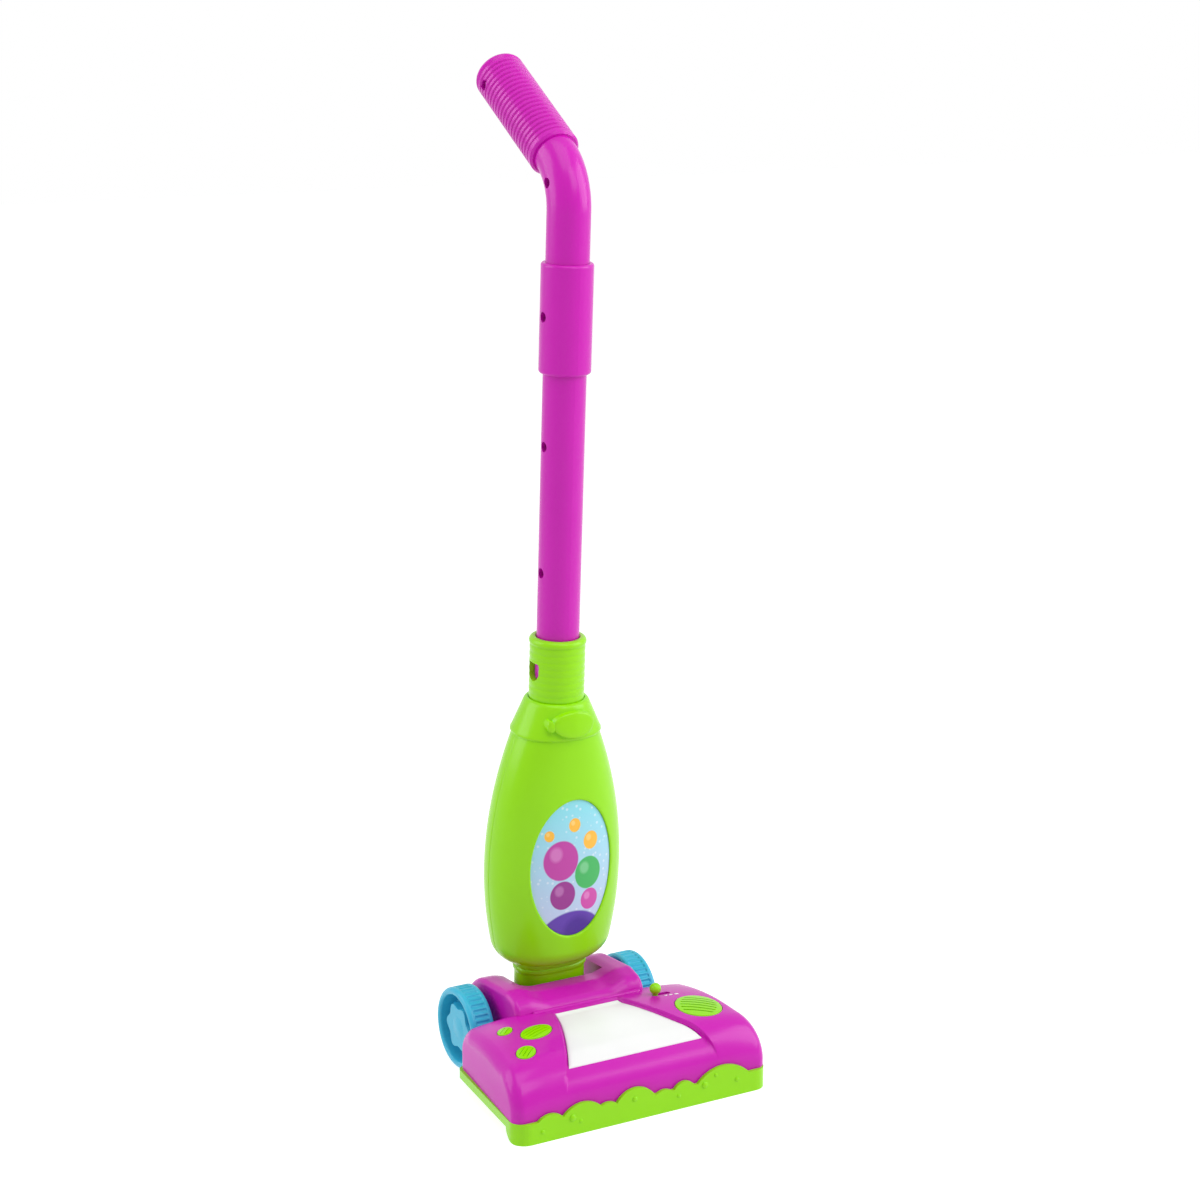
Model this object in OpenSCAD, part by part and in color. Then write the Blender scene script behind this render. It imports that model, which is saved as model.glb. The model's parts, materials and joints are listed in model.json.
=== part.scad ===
// Toy push vacuum: a wheeled nozzle base, a tilting bag body and a bent handle.
// Millimetres, +Z up, the front faces -Y, the floor is Z = 0.

/* [Base] */
// Width across the front bumper
base_front_w = 169; // [150:1:190]
// Width of the nozzle at its rear
base_rear_w = 150; // [145:1:156]
// Reach from the axle to the bumper's front
base_reach = 117; // [112:1:125]
// Height of the nozzle's crest above the floor
dome_h = 46.2; // [45:0.2:48]
// Distance of the crest behind the bumper's front
crest_back = 55; // [52:1:58]
// Height of the nozzle's rear top edge
dome_rear_h = 40.5; // [39.5:0.5:41.5]
// Radius that rounds the nozzle's front
dome_front_r = 25; // [21:1:27]
// Depth of the central channel below the side panels
channel_d = 2; // [1.6:0.1:2.4]
// Thickness of the moulded walls of the base
base_wall = 2.4; // [2:0.1:2.8]
// Height of the chassis floor above the ground
ground_gap = 9.5; // [8.5:0.25:10]
// Height of the seam between cover and chassis
seam_z = 12.6; // [12.3:0.1:13.5]
// How far the bumper stands proud of the cover
bumper_t = 2; // [1.6:0.1:2.6]

/* [Saddle] */
// Half width of the axle housing
saddle_half_w = 43.5; // [42:0.5:44.5]
// Radius of the housing's rear about the axle
saddle_r = 26.4; // [24.5:0.1:27]
// Reach of the housing ahead of the axle
saddle_ahead = 42; // [41:0.5:43]
// Half width of the slot that the foot swings in
slot_half_w = 28.5; // [27:0.5:30]
// Reach of that slot ahead of the axle
slot_ahead = 16; // [15:0.25:18]
// Rise of the housing's crown ahead of the axle
saddle_crown = 2; // [1:0.25:3]
// How far the housing dips between its ends
saddle_dip = 3; // [2:0.25:4.5]

/* [Wheels] */
// Radius of the wheels, which sets the height of the axle
wheel_r = 24.6; // [24:0.1:25.5]
// Width of a wheel
wheel_w = 15; // [13:0.5:17]
// Gap from the housing to a wheel
wheel_gap = 4.8; // [4:0.2:6]
// Radius of the axle rod
axle_r = 3; // [2.5:0.1:3.5]
// Number of tread ribs
tread_ribs = 44; // [36:1:52]
// Running clearance on the axle
run_clear = 0.05; // [0.02:0.01:0.08]

/* [Window] */
// Half width of the window at its rear edge
window_rear_half_w = 21.2; // [19:0.2:23]
// Half width of the window at its front edge
window_front_half_w = 44; // [41:0.5:46]
// Distance of its rear edge ahead of the housing
window_rear_gap = 5.2; // [4:0.2:7]
// Distance of its front edge behind the bumper's front
window_front_gap = 12; // [10:0.5:13]
// Thickness of the window panel
window_t = 1.2; // [1:0.05:1.3]

/* [Switch] */
// Travel of the knob
switch_travel = 8; // [6:0.5:10]
// Radius of the ball knob
knob_r = 3.5; // [3:0.1:4]
// Distance of the knob at rest from the side
switch_in = 42.5; // [41:0.5:44]
// Place of the knob along the panel, from the housing (0) to the bumper's front (1)
switch_along = 0.18667; // [0.16:0.01:0.2]

/* [Speaker] */
// Radius of the speaker grille
grille_r = 14; // [13:0.25:14.5]
// Distance of the grille's middle from the side
grille_in = 27.5; // [26.5:0.25:28]
// Place of the grille's middle along the panel, from the housing (0) to the bumper's front (1)
grille_along = 0.51333; // [0.5:0.01:0.53]

/* [Batteries] */
// Diameter of a battery cell
cell_d = 14.5; // [14:0.1:14.5]
// Length of a battery cell
cell_l = 50.5; // [49:0.5:51]
// Distance of the battery box's middle behind the bumper's front
battery_back = 43; // [41:0.5:45]

/* [Upright] */
// Forward lean of the upright at rest, in degrees
lean = 3.4; // [2:0.1:4.5]
// Height of the bag's underside above the axle
bag_foot = 35.5; // [34:0.25:40]
// Height of the bag's widest level above the axle
bag_mid = 95; // [90:1:102]
// Height of the shoulder seam above the axle
bag_top = 180; // [174:1:186]
// Half width of the bag at its widest
bag_half_w = 42.4; // [40:0.2:44]
// Half depth of the bag at its widest
bag_half_d = 28.5; // [27.5:0.2:30]
// Half width of the bag at the shoulder seam
shoulder_half_w = 25.7; // [25:0.1:27]
// Half depth of the bag at the shoulder seam
shoulder_half_d = 22.3; // [22:0.1:23.5]
// Thickness of the bag's walls
bag_wall = 2.2; // [1.8:0.1:2.6]
// Width of the picture oval
picture_w = 53.5; // [50:0.5:55]
// Height of the picture oval
picture_h = 85; // [79:1:88]
// Height of its middle above the bag's widest level
picture_up = 6; // [4:0.5:8]
// Depth of the picture below the bag's surface
picture_d = 1.2; // [1:0.1:1.4]

/* [Foot] */
// Width of the hinge foot
foot_w = 46; // [42:0.5:47]
// Depth of the hinge foot
foot_d = 27; // [24:0.5:28]
// Radius of the hinge barrel
barrel_r = 11; // [9:0.25:11.5]

/* [Neck] */
// Outer radius of the ribbed neck
neck_r = 16.2; // [15.8:0.1:16.4]
// Height of the neck's foot above the shoulder seam
neck_rise = 19; // [17:0.5:22]
// Length of the neck above the shoulder
neck_len = 38; // [36:0.5:42]
// Number of neck ribs
neck_ribs = 8; // [6:1:9]

/* [Handle] */
// Radius of the tubes
tube_r = 12.5; // [12:0.05:12.7]
// Thickness of the tube walls
tube_wall = 2.2; // [1.8:0.1:2.4]
// Radius of the collar
collar_r = 15; // [14.8:0.1:16]
// Length of bare tube from the neck to the collar
tube_run = 155; // [140:1:165]
// Length of the collar
collar_len = 62.6; // [58:0.5:66]
// Length of bare tube from the collar to the bend
stem_run = 28.4; // [20:0.5:36]
// Radius of the bend
bend_r = 33.4; // [28:0.2:40]
// Angle of the bend, in degrees
bend_angle = 61.4; // [50:0.5:70]
// Length of the grip
grip_len = 79; // [70:1:90]
// Radius of the grip over its ribs
grip_r = 14.9; // [14.5:0.1:15.5]
// Number of grip ribs
grip_ribs = 19; // [15:1:22]
// Travel of the lock button
button_travel = 3; // [2:0.25:3]

/* [Fits] */
// Gap between fixed pieces that seat in one another
seat_clear = 0.15; // [0.1:0.01:0.2]
// Gap round pieces that move
move_clear = 0.4; // [0.3:0.05:0.5]

/* [Hidden] */
$fn = 64;

magenta = "#c42cc0";
lime = "#8fdc10";
sky = "#3fb4d6";
far = 400;
top_z = 90;
eps = 0.02;

// Places that follow from the driving sizes
axle_z = wheel_r;
cover_front = base_reach - bumper_t - seat_clear;
cover_setback = 1.2;
cover_half_front = base_front_w / 2 - cover_setback;
cover_half_rear = base_rear_w / 2 - cover_setback;
nozzle_rear = wheel_r + 1.2;
dome_front_h = dome_h - 6;
crest_ahead = base_reach - crest_back;
window_rear = saddle_ahead + window_rear_gap;
window_front = base_reach - window_front_gap;
switch_x = base_front_w / 2 - switch_in;
panel_run = base_reach - saddle_ahead;
switch_ahead = saddle_ahead + switch_along * panel_run;
grille_x = base_front_w / 2 - grille_in;
grille_ahead = saddle_ahead + grille_along * panel_run;
battery_ahead = base_reach - battery_back;
neck_s = bag_top + neck_rise;
collar_s = neck_s + neck_len + tube_run;
bend_s = collar_s + collar_len + stem_run;
// The crest is rounded as far as the rounds of front and rear leave room
dome_rear_r = 17;
front_run = cover_front - crest_ahead;
rear_run = crest_ahead - nozzle_rear;
front_fall = atan((dome_h - dome_front_h) / front_run);
rear_rise = atan((dome_h - dome_rear_h) / rear_run);
dome_top_r = min(front_run - dome_front_r * tan((90 - front_fall) / 2),
    rear_run - dome_rear_r * tan((90 - rear_rise) / 2)) * 0.92 / tan((rear_rise + front_fall) / 2);
rear_run_slope = tan(rear_rise);
crest_start = crest_ahead - dome_top_r * tan((rear_rise + front_fall) / 2) * cos(rear_rise);
floor_top = ground_gap + base_wall;
wheel_x = saddle_half_w + wheel_gap;
grip_fillet = 3;
grip_tilt = bend_angle - lean;
grip_rim_y = bend_r * (1 - cos(bend_angle)) + (grip_len - grip_fillet) * sin(bend_angle);
grip_rim_s = bend_s + bend_r * sin(bend_angle) + (grip_len - grip_fillet) * cos(bend_angle);
rear_reach = grip_rim_y * cos(lean) - grip_rim_s * sin(lean)
    + (grip_r - grip_fillet) * cos(grip_tilt) + grip_fillet;
// The origin is the middle of the part's box, so the axle lies this far behind it
axle_y = (base_reach - rear_reach) / 2;
echo(axle_y = axle_y, axle_z = axle_z);

// Ovals on the left panel, placed from the side and the front, with their half sizes and turn
oval_spots = [for (p = [[38.5, 47, 11.2, 7.2, 22], [21.9, 28.4, 7.1, 5.4, 42], [24.1, 58.3, 6, 4.1, 43]])
    [p[0] - base_front_w / 2, base_reach - p[1], p[2], p[3], p[4]]];
oval_d = 1.2;
// Bumper lobes: place to the right as a share of the width, radius and height of the top
lobes = [for (p = [[-0.367, 11.5, 15.9], [-0.243, 17, 18.3], [-0.148, 10, 14.7], [-0.041, 14.8, 19.5],
    [0.071, 9.5, 14], [0.151, 8.2, 16.3], [0.308, 24, 20.3]]) [p[0] * base_front_w, p[1], p[2]]];
// Chassis screws: place to each side and ahead of the axle
base_screws = [[base_front_w / 2 - 14.5, base_reach - 19], [base_rear_w / 2 - 8.5, nozzle_rear + 9.2]];
screw_r = 1.2;
screw_head_r = 2.7;
screw_head_h = 2;
screw_clear = 0.1;
boss_r = 3.8;

// Places of the tube and handle screws above the axle, and of the grip's from its end
tube_screw_s = [collar_s - tube_run * 0.75, collar_s - tube_run * 0.27, collar_s + collar_len * 0.52];
bend_screw_angle = bend_angle * 0.45;
grip_screw_back = 11.3;
// Bag screws on the rear: half spacing and height above the axle
bag_screw_x = 24;
bag_screw_s = [bag_foot + 30, bag_top - 48];

function unit(v) = v / norm(v);

// The arc of radius r that rounds the corner b between its neighbours a and c
function fillet(a, b, c, r, n) =
    let (u = unit(a - b), w = unit(c - b), half = acos(u * w) / 2)
    let (ctr = b + unit(u + w) * r / sin(half), p = b + u * r / tan(half), q = b + w * r / tan(half))
    let (a0 = atan2(p.y - ctr.y, p.x - ctr.x), turn = atan2(q.y - ctr.y, q.x - ctr.x) - a0)
    let (da = turn > 180 ? turn - 360 : turn < -180 ? turn + 360 : turn)
    [for (i = [0:n]) ctr + r * [cos(a0 + da * i / n), sin(a0 + da * i / n)]];

// A polygon whose corners are rounded by the radii in turn, where 0 keeps a corner sharp
function rounded(pts, radii, n = 8) =
    let (k = len(pts))
    [for (i = [0:k - 1]) each radii[i] > 0
        ? fillet(pts[(i + k - 1) % k], pts[i], pts[(i + 1) % k], radii[i], n) : [pts[i]]];

function ellipse(rx, ry, n = 48) = [for (i = [0:n - 1]) [rx * cos(360 * i / n), ry * sin(360 * i / n)]];

module base() {
    translate([0, axle_y, 0]) children();
}

module upright() {
    translate([0, axle_y, axle_z]) rotate([lean, 0, 0]) children();
}

// A (y, z) outline carried from x0 to x1
module along_x(x0, x1) {
    translate([x0, 0, 0]) rotate([90, 0, 90]) linear_extrude(x1 - x0) children();
}

// An (x, z) outline carried from y0 to y1
module along_y(y0, y1) {
    translate([0, y1, 0]) rotate([90, 0, 0]) linear_extrude(y1 - y0) children();
}

module rod_x(r, x0, x1) {
    translate([x0, 0, 0]) rotate([0, 90, 0]) cylinder(r = r, h = x1 - x0);
}

// Nozzle outlines, inset by t, with the top lowered by drop
function nozzle_profile(t, drop, z0) = rounded([
    [-cover_front + t, z0], [-nozzle_rear - t, z0], [-nozzle_rear - t, dome_rear_h - t - drop],
    [-crest_ahead, dome_h - t - drop], [-cover_front + t, dome_front_h - t - drop]],
    [0, 0, dome_rear_r - t, dome_top_r - t, dome_front_r - t], 10);

function nozzle_plan(front, half_front, half_rear, t) = rounded([
    [-half_front + t, -front + t], [half_front - t, -front + t],
    [half_rear - t, -nozzle_rear - t], [-half_rear + t, -nozzle_rear - t]],
    [9 - t, 9 - t, 6 - t, 6 - t], 8);

// Height of the side panels' outer face behind the crest
function dome_z(ahead) = dome_rear_h + rear_run_slope * (ahead - nozzle_rear)
    - pow(max(0, ahead - crest_start), 2) / (2 * dome_top_r);

function window_half(ahead) = window_rear_half_w + (window_front_half_w - window_rear_half_w)
    * pow(max(0, (ahead - window_rear) / (window_front - window_rear)), 1.22);

// The flared outline between two distances ahead of the axle, widened by grow
function flared(rear, front, grow, n = 12) =
    let (side = [for (i = [0:n]) let (d = rear + (front - rear) * i / n) [window_half(d) + grow, -d]])
    concat(side, [for (i = [n:-1:0]) [-side[i].x, side[i].y]]);

module dome(t, drop, z0 = seam_z) {
    intersection() {
        along_x(-base_front_w, base_front_w) polygon(nozzle_profile(t, drop, z0));
        linear_extrude(top_z) polygon(nozzle_plan(cover_front, cover_half_front, cover_half_rear, t));
    }
}

// The nozzle with its central channel, inset by t
module nozzle(t, z0 = seam_z) {
    dome(t, channel_d, z0);
    difference() {
        dome(t, 0, z0);
        linear_extrude(top_z) polygon(flared(nozzle_rear - 5, base_reach + 5, 1.5 + t));
    }
}

saddle_front_r = 11;
saddle_ramp = 13;

// Housing's outline inset by t, lowered by drop between its ends: front, crown and round rear
function saddle_profile(t, z0, drop) = let (top = axle_z + saddle_r - t - drop) concat(
    rounded([[-saddle_ahead + t, z0], [-saddle_ahead + t, top - saddle_crown - drop / 3],
        [-saddle_r, top + saddle_crown - drop / 3], [0, top]], [0, saddle_front_r - t - drop, 9, 0], 8),
    [for (i = [1:16]) let (r = saddle_r - t - drop) r * [sin(90 * i / 16), cos(90 * i / 16)] + [0, axle_z]],
    [[saddle_r - t - drop, z0]]);

// Tall ends, a low middle and ramps between them
module saddle(t, z0 = seam_z) {
    low = slot_half_w - 8;
    high = low + saddle_ramp;
    along_x(-low, low) polygon(saddle_profile(t, z0, saddle_dip));
    for (side = [0, 1]) mirror([side, 0, 0]) {
        along_x(high, saddle_half_w - t) polygon(saddle_profile(t, z0, 0));
        hull() {
            along_x(low - eps, low) polygon(saddle_profile(t, z0, saddle_dip));
            along_x(high, high + eps) polygon(saddle_profile(t, z0, 0));
        }
    }
}

module slot() {
    translate([-slot_half_w, -slot_ahead, 0]) cube([2 * slot_half_w, far, far]);
}

// Room for the axle to come in from below
module axle_slots() {
    gap = axle_r + move_clear;
    along_x(-far, far) {
        translate([-gap, 0]) square([2 * gap, axle_z]);
        translate([0, axle_z]) circle(gap);
    }
}

module at_base_screws() {
    for (p = base_screws, side = [-1, 1]) translate([side * p.x, -p.y, 0]) children();
}

module oval_prism(i, grow) {
    p = oval_spots[i];
    translate([p[0], -p[1], 0]) rotate([0, 0, p[4]]) linear_extrude(top_z)
        polygon(ellipse(p[2] + grow, p[3] + grow));
}

module at_grille() {
    translate([grille_x, -grille_ahead, 0]) children();
}

module base_cover() {
    color(magenta) base() difference() {
        union() {
            nozzle(0);
            saddle(0);
        }
        // Hollow of the nozzle, with posts left for the screws
        difference() {
            nozzle(base_wall, seam_z - 1);
            at_base_screws() cylinder(r = boss_r, h = far);
        }
        // Hollow of the housing, with the slot's walls left standing
        difference() {
            saddle(base_wall, seam_z - 1);
            translate([-slot_half_w - base_wall, -slot_ahead - base_wall, 0])
                cube([2 * (slot_half_w + base_wall), far, far]);
        }
        slot();
        axle_slots();
        at_base_screws() cylinder(r = screw_r + screw_clear, h = seam_z + 14);
        // Seat and opening of the window
        difference() {
            linear_extrude(far) polygon(flared(window_rear, window_front, 0));
            dome(window_t + seat_clear, channel_d, 0);
        }
        linear_extrude(far) polygon(flared(window_rear + 2, window_front - 2, -2));
        // Seats of the ovals and of the grille
        for (i = [0:2]) difference() {
            oval_prism(i, seat_clear);
            dome(oval_d + seat_clear, 0, 0);
        }
        difference() {
            at_grille() cylinder(r = grille_r + seat_clear, h = far);
            dome(oval_d + seat_clear, 0, 0);
        }
        at_grille() cylinder(r = grille_r - 1.6, h = far);
        // Slot for the knob's stem
        translate([switch_x, -switch_ahead, 0]) linear_extrude(far)
            stadium(switch_travel, stem_r + move_clear);
    }
}

stem_r = 1.6;
slider_t = 1.6;
slider_top = dome_z(switch_ahead) - base_wall - 1.6;
switch_h = 6;

// A slot's outline from the origin along +X
module stadium(run, r) {
    translate([0, -r]) square([run, 2 * r]);
    circle(r);
    translate([run, 0]) circle(r);
}

box_in_l = cell_l + 5;
box_in_w = 3 * cell_d + 2;
box_wall = 1.6;
door_t = 2;
door_rest = ground_gap + door_t;
door_rim = 1.4;
door_foot = ground_gap - door_rim;
cell_z = door_rest + 0.3 + cell_d / 2;
box_top = cell_z + cell_d / 2 + 0.4;
board_z = box_top + box_wall + 2;
board_t = 1.6;
board_l = 60;
board_w = 30;
pedestal_r = 12.4;
speaker_z = dome_h - base_wall - 9.5;
axle_post_x = (slot_half_w + saddle_half_w) / 2 - 2;
axle_post_w = 5;
skirt_t = 4;
skirt_back = 15;
side_skirt_z = 7.4;
// Side view of the skirt: flat under the front, curving up to the sides' lower edge
skirt_side = concat([[-base_reach - 1, 0]],
    [for (i = [0:8]) [-base_reach + skirt_t + (skirt_back - skirt_t) * sin(90 * i / 8),
        side_skirt_z * (1 - cos(90 * i / 8))]],
    [[-base_reach + skirt_back, far], [-base_reach - 1, far]]);

module chassis_plan(t) {
    polygon(nozzle_plan(base_reach, base_front_w / 2, base_rear_w / 2, t));
    translate([-saddle_half_w + t, -nozzle_rear - 10])
        square([2 * (saddle_half_w - t), nozzle_rear + 10 + saddle_r - t]);
}

module at_battery() {
    translate([0, -battery_ahead, 0]) children();
}

module centred_box(l, w, z0, z1) {
    translate([-l / 2, -w / 2, z0]) cube([l, w, z1 - z0]);
}

module bottom_chassis() {
    color(lime) base() difference() {
        union() {
            translate([0, 0, ground_gap]) linear_extrude(base_wall) chassis_plan(0);
            // Rim up to the seam
            translate([0, 0, floor_top - eps]) linear_extrude(seam_z - floor_top + eps) difference() {
                chassis_plan(0);
                chassis_plan(skirt_t);
            }
            // Skirt that meets the floor along the front
            intersection() {
                linear_extrude(ground_gap + eps) difference() {
                    chassis_plan(0);
                    chassis_plan(skirt_t);
                }
                along_x(-far, far) polygon(skirt_side);
            }
            // Its lower edge along the sides
            translate([0, 0, side_skirt_z]) linear_extrude(ground_gap - side_skirt_z + eps) difference() {
                chassis_plan(0);
                chassis_plan(skirt_t);
            }
            // Lobed front edge
            along_y(-base_reach, -base_reach + bumper_t) intersection() {
                for (p = lobes) translate([p[0], p[2] - p[1]]) circle(p[1]);
                translate([-far, floor_top]) square([2 * far, 40]);
            }
            // Battery box, closed above
            at_battery() centred_box(box_in_l + 2 * box_wall, box_in_w + 2 * box_wall,
                floor_top - eps, box_top + box_wall);
            // Posts under the circuit board
            at_battery() for (x = [-1, 1], y = [-1, 1])
                translate([x * (board_l / 2 - 4), y * (board_w / 2 - 4), box_top])
                    cylinder(r = 2.5, h = board_z - box_top);
            // Cup under the speaker
            at_grille() translate([0, 0, floor_top - eps]) difference() {
                cylinder(r = pedestal_r, h = speaker_z - floor_top + eps);
                translate([0, 0, 1]) cylinder(r = pedestal_r - 2, h = far);
            }
            // Pillar under the switch
            translate([switch_x + switch_travel / 2, -switch_ahead, 0])
                centred_box(10, 5, floor_top - eps, slider_top - slider_t - 0.3 - switch_h);
            // Posts that hold the axle
            for (side = [-1, 1]) translate([side * axle_post_x - axle_post_w / 2, 0, 0]) {
                translate([0, -7, floor_top - eps]) cube([axle_post_w, 14, axle_z - floor_top + eps]);
                translate([0, 0, axle_z]) rod_x(7, 0, axle_post_w);
            }
        }
        at_battery() centred_box(box_in_l, box_in_w, 0, box_top);
        translate([0, 0, axle_z]) rod_x(axle_r + run_clear, -far, far);
        at_base_screws() {
            translate([0, 0, -1]) cylinder(r = screw_r + screw_clear, h = far);
            translate([0, 0, -1]) cylinder(r = screw_head_r + 0.3, h = ground_gap + screw_head_h + 1 - 0.4);
        }
        door_screw_place() translate([0, 0, -1]) cylinder(r = screw_r + screw_clear, h = far);
    }
}

// The door's screw goes up into the chassis floor behind the battery box
module door_screw_place() {
    translate([0, -battery_ahead + box_in_w / 2 + box_wall + 3.4, 0]) children();
}

module battery_door() {
    color(lime) base() difference() {
        union() {
            at_battery() {
                // Plug in the opening
                centred_box(box_in_l - 2 * move_clear, box_in_w - 2 * move_clear, door_foot, door_rest);
                // Rim and tab that close over the chassis floor
                centred_box(box_in_l + 4, box_in_w + 4, door_foot, ground_gap - seat_clear);
                translate([-6, 0, door_foot]) cube([12, box_in_w / 2 + box_wall + 9, door_rim - seat_clear]);
            }
        }
        door_screw_place() cylinder(r = screw_r + screw_clear, h = far);
    }
}

module battery_door_screw() {
    color("silver") base() door_screw_place() translate([0, 0, door_foot]) screw_up(5);
}

// A pan screw whose head hangs below the origin and whose shank goes up
module screw_up(l) {
    translate([0, 0, -screw_head_h]) difference() {
        cylinder(r = screw_head_r, h = screw_head_h);
        for (a = [0, 90]) rotate([0, 0, a]) translate([-1.7, -0.35, -1]) cube([3.4, 0.7, 2]);
    }
    translate([0, 0, -eps]) cylinder(r = screw_r, h = l + eps);
}

module chassis_screws() {
    color("silver") base() at_base_screws() translate([0, 0, ground_gap + screw_head_h - 0.4]) screw_up(12);
}

module window_panel() {
    color("white") base() difference() {
        intersection() {
            dome(0.2, channel_d);
            linear_extrude(top_z)
                polygon(flared(window_rear + seat_clear, window_front - seat_clear, -seat_clear));
        }
        dome(window_t, channel_d, 0);
    }
}

module oval(i) {
    color(lime) base() difference() {
        intersection() {
            dome(0, 0);
            oval_prism(i, 0);
        }
        dome(oval_d, 0, 0);
    }
}

module oval_large() { oval(0); }
module oval_medium() { oval(1); }
module oval_small() { oval(2); }

module speaker_grille() {
    pitch = grille_r * 2 / 8;
    color(lime) base() difference() {
        intersection() {
            dome(0, 0);
            at_grille() cylinder(r = grille_r, h = top_z);
        }
        dome(oval_d, 0, 0);
        at_grille() for (i = [-2.5:1:2.5]) translate([0, i * pitch, 0])
            linear_extrude(far) translate([-grille_r * 0.62 + abs(i), 0])
                stadium(grille_r * 1.24 - 2 * abs(i), 0.55);
    }
}

module speaker() {
    color("dimgray") base() at_grille() {
        translate([0, 0, speaker_z]) cylinder(r = pedestal_r, h = 3);
        translate([0, 0, speaker_z - 6]) cylinder(r = pedestal_r - 4, h = 6 + eps);
        translate([0, 0, speaker_z + 3 - eps]) cylinder(r1 = pedestal_r - 1, r2 = 4, h = 1.4);
    }
}

module circuit_board() {
    color("darkgreen") base() at_battery() centred_box(board_l, board_w, board_z, board_z + board_t);
}

module lamps() {
    color("white") base() at_battery() for (x = [-18, 18]) translate([x, 0, board_z + board_t]) {
        cylinder(r = 1.5, h = 1.2);
        translate([0, 0, 1.2 - eps]) sphere_cap(1.5);
    }
}

// The upper half of a ball
module sphere_cap(r) {
    intersection() {
        sphere(r);
        cylinder(r = r + 1, h = r + 1);
    }
}

module switch_body() {
    top = slider_top - slider_t - 0.3;
    color("dimgray") base() translate([switch_x + switch_travel / 2, -switch_ahead, 0])
        centred_box(16, 5.4, top - switch_h, top);
}

module switch_knob() {
    color(lime) base() translate([switch_x, -switch_ahead, 0]) {
        translate([0, 0, dome_z(switch_ahead) + knob_r + move_clear]) sphere(knob_r);
        translate([0, 0, slider_top - eps])
            cylinder(r = stem_r, h = dome_z(switch_ahead) + knob_r - slider_top);
        centred_box(10, 4.6, slider_top - slider_t, slider_top);
    }
}

module battery_cells() {
    color("goldenrod") base() at_battery() for (i = [-1:1])
        translate([-cell_l / 2 - 1, i * (cell_d + 0.5), cell_z]) {
            rod_x(cell_d / 2, 0, cell_l - 1);
            rod_x(2.7, cell_l - 1 - eps, cell_l);
        }
}

module battery_contacts() {
    color("silver") base() at_battery() for (i = [-1:1]) translate([0, i * (cell_d + 0.5), cell_z]) {
        translate([cell_l / 2 - 1 + 0.1, -4, -4]) cube([box_in_l / 2 - cell_l / 2 + 1 - 0.2, 8, 8]);
        rod_x(3, -box_in_l / 2 + 0.1, -cell_l / 2 - 1 - 0.1);
    }
}

axle_end = wheel_x + wheel_w * 0.62;

module axle() {
    color("silver") base() translate([0, 0, axle_z]) rod_x(axle_r, -axle_end, axle_end);
}

module axle_caps() {
    color("silver") base() translate([0, 0, axle_z]) for (side = [-1, 1]) mirror([side < 0 ? 1 : 0, 0, 0]) {
        difference() {
            rod_x(axle_r + 2, hub_end + 0.3, axle_end + 1.2);
            rod_x(axle_r + run_clear, 0, axle_end + 0.02);
        }
    }
}

hub_r = 7;
hub_end = wheel_x + wheel_w * 0.46;
rim_t = 3;
tread_edge = 2.2;
rib_w = 1.4;
rib_h = 0.7;

// Wheel to the right: tread, dished outer face, lobed boss and hub
module wheel() {
    translate([0, 0, axle_z]) difference() {
        union() {
            difference() {
                rod_x(wheel_r - rib_h, wheel_x, wheel_x + wheel_w);
                rod_x(wheel_r - rib_h - rim_t, wheel_x + 3, wheel_x + wheel_w + 1);
            }
            for (x = [wheel_x, wheel_x + wheel_w - tread_edge]) difference() {
                rod_x(wheel_r, x, x + tread_edge);
                rod_x(wheel_r - rib_h - 1, x - 1, x + tread_edge + 1);
            }
            for (i = [0:tread_ribs - 1]) rotate([360 * i / tread_ribs, 0, 0])
                translate([wheel_x + tread_edge - eps, -rib_w / 2, wheel_r - rib_h - 0.6])
                    cube([wheel_w - 2 * tread_edge + 2 * eps, rib_w, rib_h + 0.45]);
            // Lobed boss in the dish
            for (i = [0:5]) rotate([60 * i, 0, 0]) translate([0, 0, wheel_r * 0.36])
                rod_x(wheel_r * 0.2, wheel_x + 3 - eps, wheel_x + wheel_w * 0.4);
            rod_x(wheel_r * 0.36, wheel_x + 3 - eps, wheel_x + wheel_w * 0.4);
            rod_x(hub_r, wheel_x - wheel_gap + move_clear, hub_end);
        }
        rod_x(axle_r + run_clear, 0, far);
    }
}

module wheel_right() {
    color(sky) base() wheel();
}

module wheel_left() {
    color(sky) base() mirror([1, 0, 0]) wheel();
}

foot_ring = 3.4;
foot_spigot = 8;

// Rounded block outline in plan
function block(w, d, r) = rounded(
    [[-w / 2, -d / 2], [w / 2, -d / 2], [w / 2, d / 2], [-w / 2, d / 2]], [r, r, r, r], 8);

module hinge_foot() {
    color(lime) upright() difference() {
        union() {
            rod_x(barrel_r, -slot_half_w + 0.5, slot_half_w - 0.5);
            translate([0, 0, 6]) linear_extrude(bag_foot - 6) polygon(block(foot_w - 2.4, foot_d - 2.4, 9));
            translate([0, 0, bag_foot - foot_ring]) linear_extrude(foot_ring)
                polygon(block(foot_w, foot_d, 10));
            translate([0, 0, bag_foot - eps]) linear_extrude(foot_spigot)
                polygon(block(foot_w - 8, foot_d - 8, 6));
        }
        rod_x(axle_r + run_clear, -far, far);
    }
}

bag_round = 13;
bag_power = 2.2;
bag_lip = 10;
bag_step = 2.2;

// Half width and half depth of the bag at a height, from parabolas about its widest level
function bag_w(s) = s > bag_mid
    ? bag_half_w - (bag_half_w - shoulder_half_w) * pow((s - bag_mid) / (bag_top - bag_mid), 2)
    : bag_half_w - 6.5 * pow((bag_mid - s) / (bag_mid - bag_foot - 7), 2);
function bag_d(s) = s > bag_mid
    ? bag_half_d - (bag_half_d - shoulder_half_d) * pow((s - bag_mid) / (bag_top - bag_mid), 2)
    : bag_half_d - 2.5 * pow((bag_mid - s) / (bag_mid - bag_foot - 7), 2);

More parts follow.
